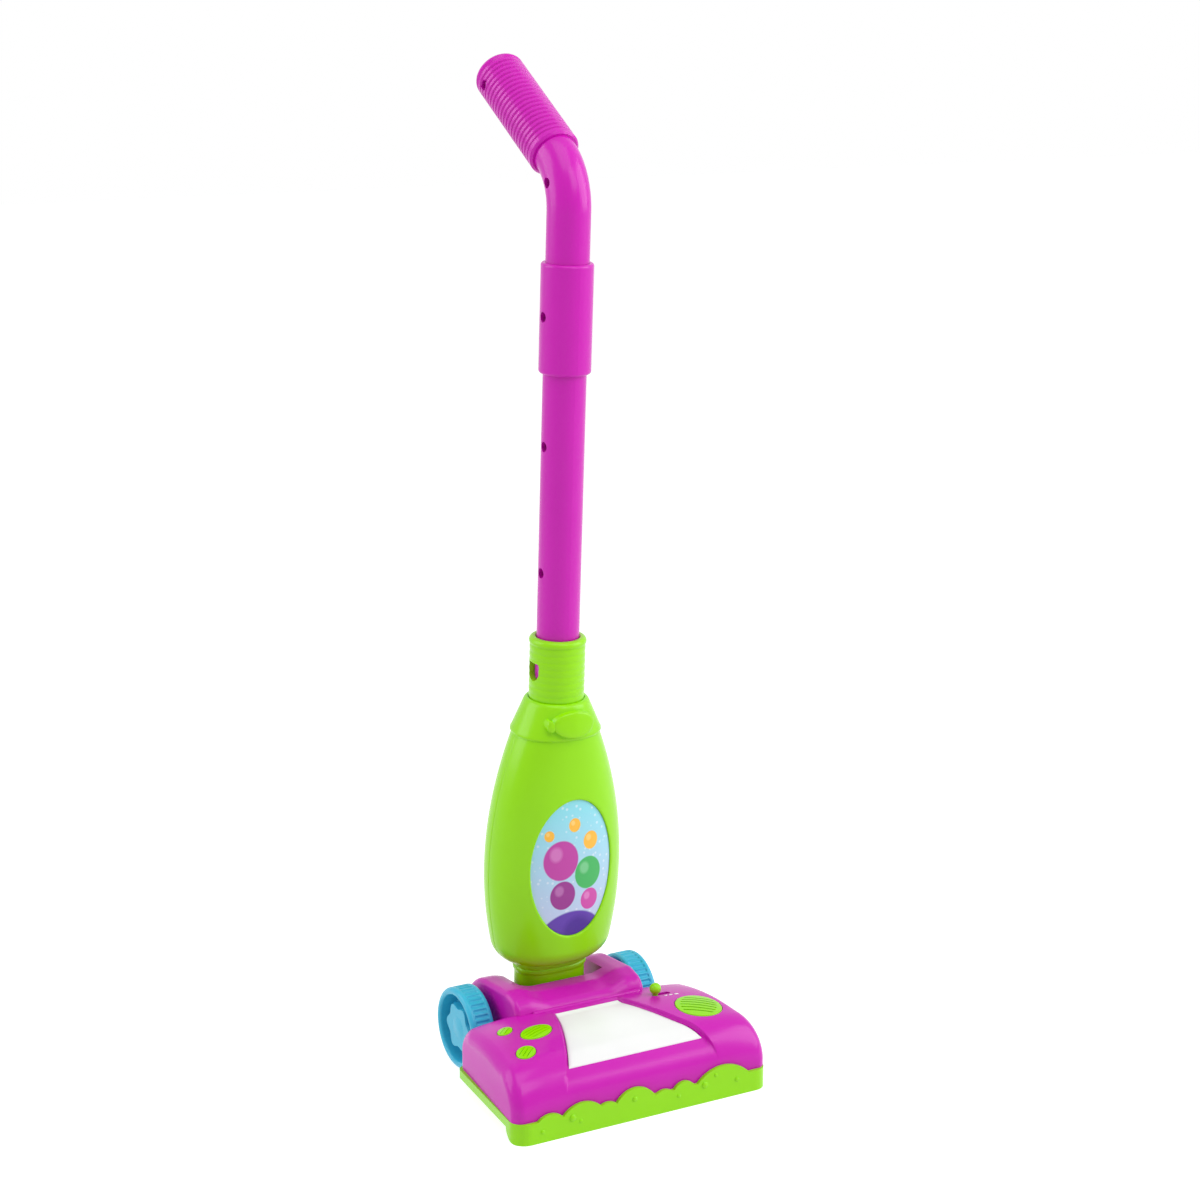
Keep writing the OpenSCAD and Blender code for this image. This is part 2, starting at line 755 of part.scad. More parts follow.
// Superellipse ring at height z
function ring(a, b, z, n = 40) = [for (i = [0:n - 1]) let (t = 360 * i / n)
    [a * sign(cos(t)) * pow(abs(cos(t)), 2 / bag_power),
     b * sign(sin(t)) * pow(abs(sin(t)), 2 / bag_power), z]];

// Closed skin through a list of rings with equal counts, from bottom to top
module loft(rings) {
    n = len(rings[0]);
    m = len(rings);
    polyhedron(
        points = [for (r = rings) each r],
        faces = concat(
            [[for (i = [0:n - 1]) i]],
            [for (k = [0:m - 2], i = [0:n - 1]) let (j = (i + 1) % n) each [
                [k * n + i, (k + 1) * n + i, (k + 1) * n + j],
                [k * n + i, (k + 1) * n + j, k * n + j]]],
            [[for (i = [n - 1:-1:0]) (m - 1) * n + i]]));
}

// Rings of the bag inset by t: the rounded foot, the swelling body and the lip under the shoulder
function bag_rings(t) = let (z0 = bag_foot + t, z1 = bag_top - t, r = bag_round - t) concat(
    [for (i = [0:4]) let (a = 90 * i / 5, s = z0 + r * (1 - cos(a)), in = r * (1 - sin(a)) + t)
        ring(bag_w(s) - in, bag_d(s) - in, s)],
    [for (i = [0:9]) let (s = z0 + r + (z1 - z0 - r) * i / 9) ring(bag_w(s) - t, bag_d(s) - t, s)],
    [ring(bag_w(bag_top) - bag_step - t, bag_d(bag_top) - bag_step - t, z1 + 0.4),
     ring(bag_w(bag_top) - bag_step - t - 2, bag_d(bag_top) - bag_step - t - 1, bag_top + bag_lip + t)]);

module bag_shell() {
    difference() {
        loft(bag_rings(0));
        loft(bag_rings(bag_wall));
        translate([0, 0, bag_foot - 1]) linear_extrude(bag_wall + 3)
            polygon(block(foot_w - 8 + 2 * seat_clear, foot_d - 8 + 2 * seat_clear, 6));
    }
}

module picture_prism(grow) {
    translate([0, 0, bag_mid + picture_up]) along_y(-far, 0)
        polygon(ellipse(picture_w / 2 + grow, picture_h / 2 + grow));
}

module at_bag_screws() {
    for (x = [-1, 1], s = bag_screw_s) translate([x * bag_screw_x, 0, s]) children();
}

module bag_front() {
    color(lime) upright() difference() {
        union() {
            difference() {
                bag_shell();
                translate([-far, 0, 0]) cube(2 * far);
            }
            // Screw posts from the front wall to the parting line
            intersection() {
                loft(bag_rings(bag_wall / 2));
                at_bag_screws() rotate([90, 0, 0]) cylinder(r = boss_r, h = far);
            }
        }
        at_bag_screws() rotate([90, 0, 0]) translate([0, 0, -1]) cylinder(r = screw_r + screw_clear, h = 11);
        picture_prism(seat_clear);
    }
}

module bag_rear() {
    color(lime) upright() difference() {
        union() {
            difference() {
                bag_shell();
                translate([-far, -2 * far, 0]) cube(2 * far);
            }
            intersection() {
                loft(bag_rings(bag_wall / 2));
                at_bag_screws() rotate([-90, 0, 0]) cylinder(r = boss_r, h = far);
            }
        }
        at_bag_screws() rotate([-90, 0, 0]) {
            translate([0, 0, -1]) cylinder(r = screw_r + screw_clear, h = far);
            translate([0, 0, 4]) cylinder(r = screw_head_r + 0.3, h = far);
        }
    }
}

module bag_screws() {
    color("silver") upright() at_bag_screws() rotate([90, 0, 0]) translate([0, 0, -4]) screw_up(13);
}

// Panel that fills the picture oval, set below the bag's surface
module picture_panel() {
    color("lightskyblue") upright() intersection() {
        difference() {
            loft(bag_rings(picture_d));
            loft(bag_rings(picture_d + 1.6));
        }
        picture_prism(0);
    }
}

shoulder_wall = 1.7;
shoulder_top_r = 18.4;
shoulder_drop = 1.6;

// Rings of the shoulder cover inset by t
function shoulder_rings(t, z0, z1) = [for (i = [0:6]) let (u = i / 6, bulge = 1.2 * sin(180 * u))
    let (a = bag_w(bag_top) + 0.7 - t, b = bag_d(bag_top) + 0.7 - t, c = shoulder_top_r - t)
    ring(a + (c - a) * u + bulge, b + (c - b) * u + bulge, z0 + (z1 - z0) * u)];

module shoulder_cover() {
    color(lime) upright() difference() {
        loft(shoulder_rings(0, bag_top + 0.5, neck_s + 1));
        loft(shoulder_rings(shoulder_wall, bag_top + 0.4, neck_s + 1 - shoulder_wall));
        translate([0, 0, bag_top]) cylinder(r = neck_r + seat_clear, h = far);
        badge_prism(seat_clear);
    }
}

badge_w = 26;
badge_h = 14.6;
badge_s = bag_top + 8.5;
badge_proud = 1.6;

module badge_prism(grow) {
    translate([0, 0, badge_s]) along_y(-far, 0) {
        polygon(ellipse(badge_w / 2 + grow, badge_h / 2 + grow));
        translate([-badge_w / 2 - 2.6 - grow, -3 - grow]) square([6 + 2 * grow, 6 + 2 * grow]);
    }
}

module badge() {
    color(lime) upright() intersection() {
        badge_prism(0);
        difference() {
            translate([0, -badge_proud, 0]) loft(shoulder_rings(0, bag_top + 0.5, neck_s + 1));
            loft(shoulder_rings(shoulder_wall, bag_top + 0.4, neck_s + 1 - shoulder_wall));
            translate([0, 0, bag_top]) cylinder(r = neck_r + seat_clear, h = far);
        }
    }
}

neck_root = neck_s - 10;
neck_ledge = neck_s + 2;
neck_lip = 0.5;
lip_r = 1.8;
neck_rib_h = 0.6;
button_s = neck_s + neck_len * 0.496;

// Half outline of the ribbed neck: foot, ribs and rolled lip
module neck_outline() {
    pitch = (neck_len - 5) / neck_ribs;
    polygon(concat(
        [[tube_r - 4, neck_root], [neck_r, neck_root], [neck_r, neck_s]],
        [for (i = [0:neck_ribs - 1], k = [0:4]) let (z = neck_s + pitch * (i + (k + 0.5) / 5))
            [neck_r + neck_rib_h * (sin(180 * (k + 0.5) / 5) - 0.6), z]],
        [for (a = [-60:30:90]) [neck_r + neck_lip, neck_s + neck_len] + lip_r * [cos(a) - 1, sin(a) - 1]],
        [[tube_r + seat_clear, neck_s + neck_len], [tube_r + seat_clear, neck_ledge],
         [tube_r - 4, neck_ledge]]));
}

// D outline on the left of the neck, flat above and round below
module lock_window(grow) {
    r = lock_r + grow;
    rotate([0, 0, 180]) along_x(0, far) translate([0, button_s - lock_drop]) {
        circle(r);
        translate([-r, 0]) square([2 * r, lock_r + grow]);
    }
}

module neck_socket() {
    color(lime) upright() difference() {
        rotate_extrude() neck_outline();
        lock_window(1);
    }
}

lock_r = 5;
lock_drop = 1.5;
button_lip = 1.2;
button_flange = 2;
// Pressed all the way in, the button's face lies just inside the tube's surface
button_out = tube_r - 0.7 + button_travel;
button_in = sqrt(pow(tube_r - tube_wall - move_clear, 2) - pow(lock_r + button_lip, 2));
spring_r = 3;
spring_end = sqrt(pow(tube_r - tube_wall, 2) - pow(spring_r, 2)) - 0.1;

module lock_button() {
    color(magenta) upright() {
        intersection() {
            lock_window(0);
            rod_x(far, -button_out, -button_in + eps);
        }
        intersection() {
            lock_window(button_lip);
            rod_x(far, -button_in, -button_in + button_flange);
        }
    }
}

module lock_spring() {
    color("silver") upright() translate([0, 0, button_s - lock_drop]) difference() {
        rod_x(spring_r, -button_in + button_flange + 0.1, spring_end);
        rod_x(spring_r - 0.7, -far, far);
    }
}

// The part of the children to the left or right of the parting plane
module half(side) {
    intersection() {
        children();
        translate([side < 0 ? -far : 0, -far, -far]) cube([far, 2 * far, 4 * far]);
    }
}

boss_depth = 6;

// A post for one screw across a tube, and the cut that sinks the screw's head
module tube_post(r) {
    intersection() {
        rod_x(boss_r, -far, far);
        rod_x(far, -r + 1, r - 1);
    }
}

module tube_post_cut() {
    rod_x(screw_r + screw_clear, -boss_depth - 1, 9);
    rod_x(screw_head_r + 0.3, -far, -boss_depth);
}

module tube_screw() {
    translate([-boss_depth, 0, 0]) rotate([0, 90, 0]) screw_up(13);
}

upper_foot = collar_s + collar_len - 24;
collar_edge = 1.6;

module lower_tube_solid() {
    difference() {
        union() {
            translate([0, 0, neck_ledge]) cylinder(r = tube_r, h = upper_foot - neck_ledge);
            translate([0, 0, collar_s]) rotate_extrude() polygon(rounded([[0, 0], [collar_r, 0],
                [collar_r, collar_len], [0, collar_len]], [0, collar_edge, collar_edge, 0], 6));
        }
        difference() {
            translate([0, 0, neck_ledge - 1]) cylinder(r = tube_r - tube_wall, h = far);
            for (s = tube_screw_s) translate([0, 0, s]) tube_post(tube_r - tube_wall + 1.5);
        }
        translate([0, 0, upper_foot]) cylinder(r = tube_r + seat_clear, h = far);
        for (s = tube_screw_s) translate([0, 0, s]) tube_post_cut();
        lock_window(move_clear);
    }
}

module lower_tube_left() {
    color(magenta) upright() half(-1) lower_tube_solid();
}

module lower_tube_right() {
    color(magenta) upright() half(1) lower_tube_solid();
}

module tube_screws() {
    color("silver") upright() for (s = tube_screw_s) translate([0, 0, s]) tube_screw();
}

// The grip's frame: its axis is Z, from the end of the bend
module grip_frame() {
    translate([0, bend_r * (1 - cos(bend_angle)), bend_s + bend_r * sin(bend_angle)])
        rotate([-bend_angle, 0, 0]) children();
}

// The tube's centre part of the way round the bend
module bend_frame(a) {
    translate([0, bend_r * (1 - cos(a)), bend_s + bend_r * sin(a)]) rotate([-a, 0, 0]) children();
}

// Wall of the tube on one side of the parting plane, as an outline about its axis
module half_ring(side, inset = 0) {
    intersection() {
        difference() {
            circle(tube_r - inset);
            circle(tube_r - tube_wall + inset);
        }
        translate([-far, side < 0 ? 0 : -far]) square([2 * far, far]);
    }
}

grip_rib_d = 0.9;
handle_key = 2;

// Half outline of the ribbed grip: plain cuff, ribs and rounded end
module grip_outline() {
    cuff = 4;
    run = grip_len - cuff - grip_fillet - 2;
    pitch = run / grip_ribs;
    polygon(concat(
        [[0, 0], [grip_r - 1.2, 0], [grip_r, 1.2], [grip_r, cuff]],
        [for (i = [0:grip_ribs - 1], p = [[0.1, 1], [0.3, 0], [0.8, 0], [1, 1]])
            let (z = cuff + pitch * (i + p.x) + 0.2) [grip_r - grip_rib_d * p.y, z]],
        [for (a = [0:15:90]) [grip_r, grip_len] + grip_fillet * [cos(a) - 1, sin(a) - 1]],
        [[0, grip_len]]));
}

// Straight stem, bend and grip on one side, each hollow, meeting face to face
module upper_handle(side) {
    difference() {
        union() {
            translate([0, 0, upper_foot]) linear_extrude(bend_s - upper_foot)
                rotate([0, 0, 90]) half_ring(side);
            // Keys inside the wall that tie the three lengths together
            for (a = [0, bend_angle]) bend_frame(a) translate([0, 0, -handle_key])
                linear_extrude(2 * handle_key) rotate([0, 0, 90]) half_ring(side, tube_wall / 4);
            translate([0, bend_r, bend_s]) rotate([90, 0, -90]) rotate_extrude(angle = bend_angle)
                translate([bend_r, 0]) half_ring(side);
            half(side) grip_frame() difference() {
                rotate_extrude() grip_outline();
                translate([0, 0, -1]) cylinder(r = tube_r - tube_wall, h = grip_len - 2);
            }
            half(side) at_handle_screws() tube_post(tube_r - tube_wall + 1.5);
        }
        at_handle_screws() tube_post_cut();
    }
}

module at_handle_screws() {
    bend_frame(bend_screw_angle) children();
    grip_frame() translate([0, 0, grip_len - grip_screw_back]) children();
}

module upper_handle_left() {
    color(magenta) upright() upper_handle(-1);
}

module upper_handle_right() {
    color(magenta) upright() upper_handle(1);
}

module handle_screws() {
    color("silver") upright() at_handle_screws() tube_screw();
}

base_cover();
bottom_chassis();
window_panel();
speaker_grille();
speaker();
circuit_board();
lamps();
switch_body();
battery_cells();
battery_contacts();
oval_large();
oval_medium();
oval_small();
axle();
axle_caps();
chassis_screws();
battery_door();
battery_door_screw();
wheel_left();
wheel_right();
switch_knob();
hinge_foot();
bag_front();
bag_rear();
shoulder_cover();
neck_socket();
badge();
picture_panel();
lower_tube_left();
lower_tube_right();
upper_handle_left();
upper_handle_right();
tube_screws();
handle_screws();
bag_screws();
lock_button();
lock_spring();
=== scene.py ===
"""Looks of the toy push vacuum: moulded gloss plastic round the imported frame."""
import json
import math

import bmesh
import bpy
import numpy as np
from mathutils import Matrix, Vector


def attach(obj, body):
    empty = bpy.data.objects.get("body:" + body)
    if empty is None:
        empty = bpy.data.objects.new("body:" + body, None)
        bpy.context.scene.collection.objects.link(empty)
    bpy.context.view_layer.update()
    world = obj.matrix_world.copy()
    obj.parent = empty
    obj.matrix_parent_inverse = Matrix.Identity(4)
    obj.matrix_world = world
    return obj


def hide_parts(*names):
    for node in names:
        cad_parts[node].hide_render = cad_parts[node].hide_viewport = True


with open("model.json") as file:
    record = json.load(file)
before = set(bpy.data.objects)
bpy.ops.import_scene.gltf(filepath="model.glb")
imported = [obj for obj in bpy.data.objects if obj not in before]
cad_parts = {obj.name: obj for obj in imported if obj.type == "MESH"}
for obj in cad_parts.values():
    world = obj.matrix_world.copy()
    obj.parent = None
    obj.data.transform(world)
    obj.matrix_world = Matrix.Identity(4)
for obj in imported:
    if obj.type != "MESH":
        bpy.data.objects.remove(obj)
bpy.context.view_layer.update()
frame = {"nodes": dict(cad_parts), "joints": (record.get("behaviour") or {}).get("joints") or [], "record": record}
nodes = frame["nodes"]
MM = 0.001

# Frame values that the pieces hang on
TILT = next(j for j in frame["joints"] if j["name"] == "upright_tilt")
AXLE = np.array(TILT["pos_m"]) / MM
LEAN = math.radians(3.4)


def linear(red, green, blue):
    """Screen colour from 0 to 255 as the linear colour that a shader takes."""
    c = np.array([red, green, blue]) / 255
    return tuple(np.where(c <= 0.04045, c / 12.92, ((c + 0.055) / 1.055) ** 2.4)) + (1.0,)


# Materials

NOISE_DETAIL = 2.0


def noise(tree, coords, scale):
    """Cloudy noise from 0 to 1, with features of about 1 / scale metres."""
    node = tree.nodes.new("ShaderNodeTexNoise")
    node.inputs["Scale"].default_value = scale
    node.inputs["Detail"].default_value = NOISE_DETAIL
    tree.links.new(coords, node.inputs["Vector"])
    return node.outputs["Fac"]


def spread(tree, value, low, high):
    """A 0 to 1 value carried to the range from low to high."""
    node = tree.nodes.new("ShaderNodeMapRange")
    node.inputs["To Min"].default_value = low
    node.inputs["To Max"].default_value = high
    tree.links.new(value, node.inputs["Value"])
    return node.outputs["Result"]


def shaded(tree, value, dark, light):
    """A colour between dark and light by a 0 to 1 value."""
    node = tree.nodes.new("ShaderNodeMix")
    node.data_type = "RGBA"
    node.inputs[6].default_value = dark
    node.inputs[7].default_value = light
    tree.links.new(value, node.inputs[0])
    return node.outputs[2]


def new_material(name):
    """An empty material with its node tree, shader and object coordinates."""
    mat = bpy.data.materials.new(name)
    mat.use_nodes = True
    tree = mat.node_tree
    shader = tree.nodes["Principled BSDF"]
    coords = tree.nodes.new("ShaderNodeTexCoord").outputs["Object"]
    return mat, tree, shader, coords


CLOUD_SCALE, GLOSS_SCALE, CLOUD_SHADE = 35, 90, 0.93
PLASTIC_SPECULAR, COAT_ROUGHNESS = 0.27, 0.12


def moulded(name, colour, roughness=0.24, coat=0.04):
    """Moulded plastic: faint clouding of the pigment and uneven gloss."""
    mat, tree, shader, coords = new_material(name)
    base = linear(*colour)
    dark = tuple(c * CLOUD_SHADE for c in base[:3]) + (1.0,)
    cloud = noise(tree, coords, CLOUD_SCALE)
    tree.links.new(shaded(tree, cloud, dark, base), shader.inputs["Base Color"])
    gloss = spread(tree, noise(tree, coords, GLOSS_SCALE), roughness * 0.85, roughness * 1.2)
    tree.links.new(gloss, shader.inputs["Roughness"])
    shader.inputs["Specular IOR Level"].default_value = PLASTIC_SPECULAR
    shader.inputs["Coat Weight"].default_value = coat
    shader.inputs["Coat Roughness"].default_value = COAT_ROUGHNESS
    return mat


BRUSH_SCALE = (900, 60, 900)


def metal(name, colour, roughness):
    """Plain steel with brushed streaks along Y."""
    mat, tree, shader, coords = new_material(name)
    stretch = tree.nodes.new("ShaderNodeMapping")
    stretch.inputs["Scale"].default_value = BRUSH_SCALE
    tree.links.new(coords, stretch.inputs["Vector"])
    streak = noise(tree, stretch.outputs["Vector"], 1.0)
    tree.links.new(spread(tree, streak, roughness * 0.7, roughness * 1.3), shader.inputs["Roughness"])
    shader.inputs["Base Color"].default_value = linear(*colour)
    shader.inputs["Metallic"].default_value = 1.0
    return mat


MAGENTA = moulded("magenta_plastic", (203, 20, 179))
LIME = moulded("lime_plastic", (149, 224, 0))
SKY = moulded("sky_plastic", (60, 186, 220))
WHITE = moulded("white_plastic", (242, 242, 242))
DARK = moulded("dark_plastic", (40, 40, 42), 0.5, 0.0)
BOARD = moulded("board_green", (30, 100, 50), 0.4, 0.0)
CELL = moulded("cell_jacket", (190, 150, 40))
STEEL = metal("steel", (190, 190, 190), 0.3)


SKY_LOW, SKY_HIGH = 0.085, 0.160
BUBBLE_SCALE, BUBBLE_RIM, BUBBLE_CORE = 260, 0.26, 0.14
BALLOON_TALL, GLOW = 1.12, 0.28
# Balloons of the printed film: place across and up the bag, radius and colour
BALLOONS = [(-8.5, 130, 11, (188, 58, 160)), (9.5, 120, 9, (62, 178, 92)), (-7, 108, 8, (150, 44, 140)),
            (11, 140, 5, (250, 186, 60)), (0, 151, 3.8, (250, 186, 60)), (11, 103, 6, (204, 72, 168)),
            (-16, 146, 3, (250, 186, 60))]


def disc_mask(tree, coords, x, z, wide, tall, soft=0.03):
    """1 inside an oval given in millimetres in the XZ plane, 0 outside it."""
    place = tree.nodes.new("ShaderNodeMapping")
    place.inputs["Scale"].default_value = (1 / (wide * MM), 0, 1 / (tall * MM))
    place.inputs["Location"].default_value = (-x / wide, 0, -z / tall)
    tree.links.new(coords, place.inputs["Vector"])
    away = tree.nodes.new("ShaderNodeVectorMath")
    away.operation = "LENGTH"
    tree.links.new(place.outputs["Vector"], away.inputs[0])
    edge = tree.nodes.new("ShaderNodeMapRange")
    edge.inputs["From Min"].default_value = 1 + soft
    edge.inputs["From Max"].default_value = 1 - soft
    tree.links.new(away.outputs["Value"], edge.inputs["Value"])
    return edge.outputs["Result"]


def over(tree, mask, under, colour):
    """A flat colour laid over another by a mask."""
    node = tree.nodes.new("ShaderNodeMix")
    node.data_type = "RGBA"
    tree.links.new(mask, node.inputs[0])
    tree.links.new(under, node.inputs[6])
    node.inputs[7].default_value = linear(*colour)
    return node.outputs[2]


def picture_material():
    """Printed film: a pale sky over lavender with bubbles, a purple hill and round balloons."""
    mat, tree, shader, coords = new_material("picture_film")
    axes = tree.nodes.new("ShaderNodeSeparateXYZ")
    tree.links.new(coords, axes.inputs[0])
    height = tree.nodes.new("ShaderNodeMapRange")
    height.inputs["From Min"].default_value = SKY_LOW
    height.inputs["From Max"].default_value = SKY_HIGH
    tree.links.new(axes.outputs["Z"], height.inputs["Value"])
    colour = shaded(tree, height.outputs["Result"], linear(196, 204, 236), linear(140, 218, 232))
    cells = tree.nodes.new("ShaderNodeTexVoronoi")
    cells.inputs["Scale"].default_value = BUBBLE_SCALE
    tree.links.new(coords, cells.inputs["Vector"])
    bubble = tree.nodes.new("ShaderNodeMapRange")
    bubble.inputs["From Min"].default_value = BUBBLE_RIM
    bubble.inputs["From Max"].default_value = BUBBLE_CORE
    tree.links.new(cells.outputs["Distance"], bubble.inputs["Value"])
    colour = over(tree, spread(tree, bubble.outputs["Result"], 0, 0.55), colour, (236, 240, 250))
    colour = over(tree, disc_mask(tree, coords, 0, 80, 21, 17), colour, (92, 52, 168))
    colour = over(tree, disc_mask(tree, coords, 4, 82, 10, 11, 0.2), colour, (72, 34, 146))
    for x, z, r, tint in BALLOONS:
        colour = over(tree, disc_mask(tree, coords, x, z, r, r * BALLOON_TALL), colour, tint)
        glow = tuple(int(c + (255 - c) * GLOW) for c in tint)
        shine = disc_mask(tree, coords, x - r * 0.3, z + r * 0.38, r * 0.34, r * 0.4, 0.25)
        colour = over(tree, shine, colour, glow)
    tree.links.new(colour, shader.inputs["Base Color"])
    shader.inputs["Roughness"].default_value = 0.4
    return mat


FILM = picture_material()

# The frame's own nodes take the finish of their slot
FINISHES = {"magenta": MAGENTA, "lime": LIME, "sky": SKY, "white": WHITE, "steel": STEEL,
            "dark": DARK, "board": BOARD, "lamp": WHITE, "cell": CELL, "picture": FILM}
for part in frame["record"]["subparts"]:
    mesh = nodes[part["node"]].data
    mesh.materials.clear()
    mesh.materials.append(FINISHES[part["material_slot"]])


# Building surfaces

def rounded(corners, radii, steps=12):
    """Polyline whose corners are arcs of the given radii; a radius of 0 keeps a corner sharp."""
    corners = np.array(corners, float)
    out = []
    for i, r in enumerate(radii):
        b = corners[i]
        if r <= 0:
            out.append(b[None])
            continue
        u, w = corners[i - 1] - b, corners[(i + 1) % len(corners)] - b
        u, w = u / np.linalg.norm(u), w / np.linalg.norm(w)
        half = math.acos(np.clip(u @ w, -1, 1)) / 2
        middle = (u + w) / np.linalg.norm(u + w)
        centre = b + middle * r / math.sin(half)
        start, end = b + u * r / math.tan(half) - centre, b + w * r / math.tan(half) - centre
        turn = math.atan2(start[0] * end[1] - start[1] * end[0], start @ end)
        angles = math.atan2(start[1], start[0]) + turn * np.linspace(0, 1, steps)
        out.append(centre + r * np.stack([np.cos(angles), np.sin(angles)], 1))
    return np.concatenate(out)


def along(line, places):
    """Points of an open polyline at the given distances from its start."""
    steps = np.linalg.norm(np.diff(line, axis=0), axis=1)
    run = np.concatenate([[0], np.cumsum(steps)])
    return np.stack([np.interp(places, run, line[:, k]) for k in range(line.shape[1])], 1)


def length(line):
    """Length of an open polyline: the sum of its steps."""
    return np.linalg.norm(np.diff(line, axis=0), axis=1).sum()


def smooth(low, high, value):
    """Smoothstep from 0 at low to 1 at high."""
    t = np.clip((np.asarray(value, float) - low) / (high - low), 0, 1)
    return t * t * (3 - 2 * t)


def quads(rows, cols, wrap):
    """Faces of a grid of points, row by row; wrap joins the last column to the first."""
    i, j = np.meshgrid(np.arange(rows - 1), np.arange(cols if wrap else cols - 1), indexing="ij")
    k = (j + 1) % cols
    return np.stack([i * cols + j, i * cols + k, (i + 1) * cols + k, (i + 1) * cols + j], -1).reshape(-1, 4)


def loft(rings):
    """Closed shell through equal rings: a grid of quads with a flat cap on the first and last ring."""
    rings = np.asarray(rings, float)
    rows, cols = rings.shape[:2]
    faces = quads(rows, cols, True).tolist()
    faces += [list(range(cols))[::-1], list(range((rows - 1) * cols, rows * cols))]
    return rings.reshape(-1, 3), faces


def revolve(profile, turns=128, bulge=None):
    """Closed ring shell: a closed (radius, height) outline turned about Z.

    bulge(radius, height, angle) moves the turned points.
    """
    angle = np.linspace(0, 2 * np.pi, turns, endpoint=False)[None, :]
    r, z = profile[:, :1] + 0 * angle, profile[:, 1:] + 0 * angle
    if bulge is not None:
        r, z = bulge(r, z, angle)
    points = np.stack([r * np.cos(angle), r * np.sin(angle), z], -1)
    rows, cols = points.shape[:2]
    faces = quads(rows + 1, cols, True) % (rows * cols)
    return points.reshape(-1, 3), faces.tolist()


def on_upright(points):
    """Upright millimetres, Z along the tube from the axle, to metres in the frame."""
    x, y, z = np.asarray(points, float).T
    c, s = math.cos(LEAN), math.sin(LEAN)
    return np.stack([x, y * c - z * s + AXLE[1], y * s + z * c + AXLE[2]], 1) * MM


def on_base(points):
    """Base millimetres, Y from the axle and Z from the floor, to metres in the frame."""
    return (np.asarray(points, float) + [0, AXLE[1], 0]) * MM


def shell_mesh(name, shells, place):
    """One mesh from several closed shells, with normals turned outwards."""
    points, faces, start = [], [], 0
    for verts, polys in shells:
        points.append(place(verts))
        faces += [[i + start for i in f] for f in polys]
        start += len(verts)
    mesh = bpy.data.meshes.new(name)
    mesh.from_pydata(np.concatenate(points).tolist(), [], faces)
    work = bmesh.new()
    work.from_mesh(mesh)
    bmesh.ops.recalc_face_normals(work, faces=work.faces)
    work.to_mesh(mesh)
    work.free()
    return mesh


def soften(mesh, degrees):
    """Smooth shading, kept sharp where faces meet at more than the given angle."""
    mesh.polygons.foreach_set("use_smooth", [True] * len(mesh.polygons))
    mesh.set_sharp_from_angle(angle=math.radians(degrees))


def piece(name, shells, place, finish, body, stands_for=(), cut=(), degrees=32):
    """A finished piece: shells in place, less the cut shells, with its finish, body and CAD nodes."""
    obj = bpy.data.objects.new(name, shell_mesh(name, shells, place))
    bpy.context.scene.collection.objects.link(obj)
    if cut:
        tool = bpy.data.objects.new("cutter", shell_mesh("cutter", cut, place))
        bpy.context.scene.collection.objects.link(tool)
        less = obj.modifiers.new("cut", "BOOLEAN")
        less.operation, less.solver, less.object = "DIFFERENCE", "EXACT", tool
        graph = bpy.context.evaluated_depsgraph_get()
        carved = bpy.data.meshes.new_from_object(obj.evaluated_get(graph))
        obj.modifiers.clear()
        obj.data = carved
        carved.name = name
        bpy.data.objects.remove(tool)
    soften(obj.data, degrees)
    obj.data.materials.clear()
    obj.data.materials.append(finish)
    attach(obj, body)
    if stands_for:
        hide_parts(*stands_for)


# Base cover: nozzle, axle housing and bead, in millimetres ahead of the axle and above the floor

REACH, FRONT_W, REAR_W = 117.0, 169.0, 150.0
COVER_FRONT, NOZZLE_REAR, SEAM = 114.85, 25.8, 12.6
CREST, CREST_Z, REAR_Z, FRONT_Z = 62.0, 46.2, 40.5, 40.2
REAR_ROUND, CREST_ROUND, FRONT_ROUND = 17, 140, 25
SIDE_IN, EDGE_R = 1.2, 6.5
CROWN, CROWN_POWER = 3.6, 3.2
CHANNEL_D, CHANNEL_STEP, CHANNEL_MARGIN = 2.5, 1.0, 1.5
CHANNEL_START, CHANNEL_FULL = 42, 52
FADE_START, FADE_END = 2, 17
WINDOW_REAR, WINDOW_FRONT, WINDOW_SINK = 47.2, 105.0, 1.3
WINDOW_REAR_HALF, WINDOW_FLARE, WINDOW_POWER = 21.2, 22.8, 1.22
SKIN_FROM = 25

NOZZLE_LINE = rounded([(-COVER_FRONT, SEAM), (-NOZZLE_REAR, SEAM), (-NOZZLE_REAR, REAR_Z),
                       (-CREST, CREST_Z), (-COVER_FRONT, FRONT_Z)],
                      [0, 0, REAR_ROUND, CREST_ROUND, FRONT_ROUND], 24)[1:]
NOZZLE_LINE = np.concatenate([NOZZLE_LINE, [[-COVER_FRONT, SEAM]]])


def window_half(ahead):
    """Half width of the flared window at a distance ahead of the axle."""
    share = np.clip((ahead - WINDOW_REAR) / (WINDOW_FRONT - WINDOW_REAR), 0, 1.15)
    return WINDOW_REAR_HALF + WINDOW_FLARE * share ** WINDOW_POWER


def half_width(y):
    """Half width of the cover, which flares to the front."""
    share = (-y - NOZZLE_REAR) / (COVER_FRONT - NOZZLE_REAR)
    return REAR_W / 2 - SIDE_IN + (FRONT_W - REAR_W) / 2 * share


def crown(x, y):
    """Fall of a side panel from the channel's edge to the cover's side: a power of the share across."""
    edge = window_half(-y) + CHANNEL_MARGIN
    return CROWN * np.clip((np.abs(x) - edge) / (half_width(y) - edge), 0, 1) ** CROWN_POWER


def panel_top(y, x=0.0):
    """Height of the skin above the channel and on the crowned side panels."""
    y = np.asarray(y, float)
    top = NOZZLE_LINE[NOZZLE_LINE[:, 1] > SKIN_FROM]
    return np.interp(-y, -top[:, 0], top[:, 1]) - crown(x, y)


def channel_drop(ahead):
    """Depth of the channel, which starts level at the housing."""
    return CHANNEL_D * smooth(CHANNEL_START, CHANNEL_FULL, ahead)


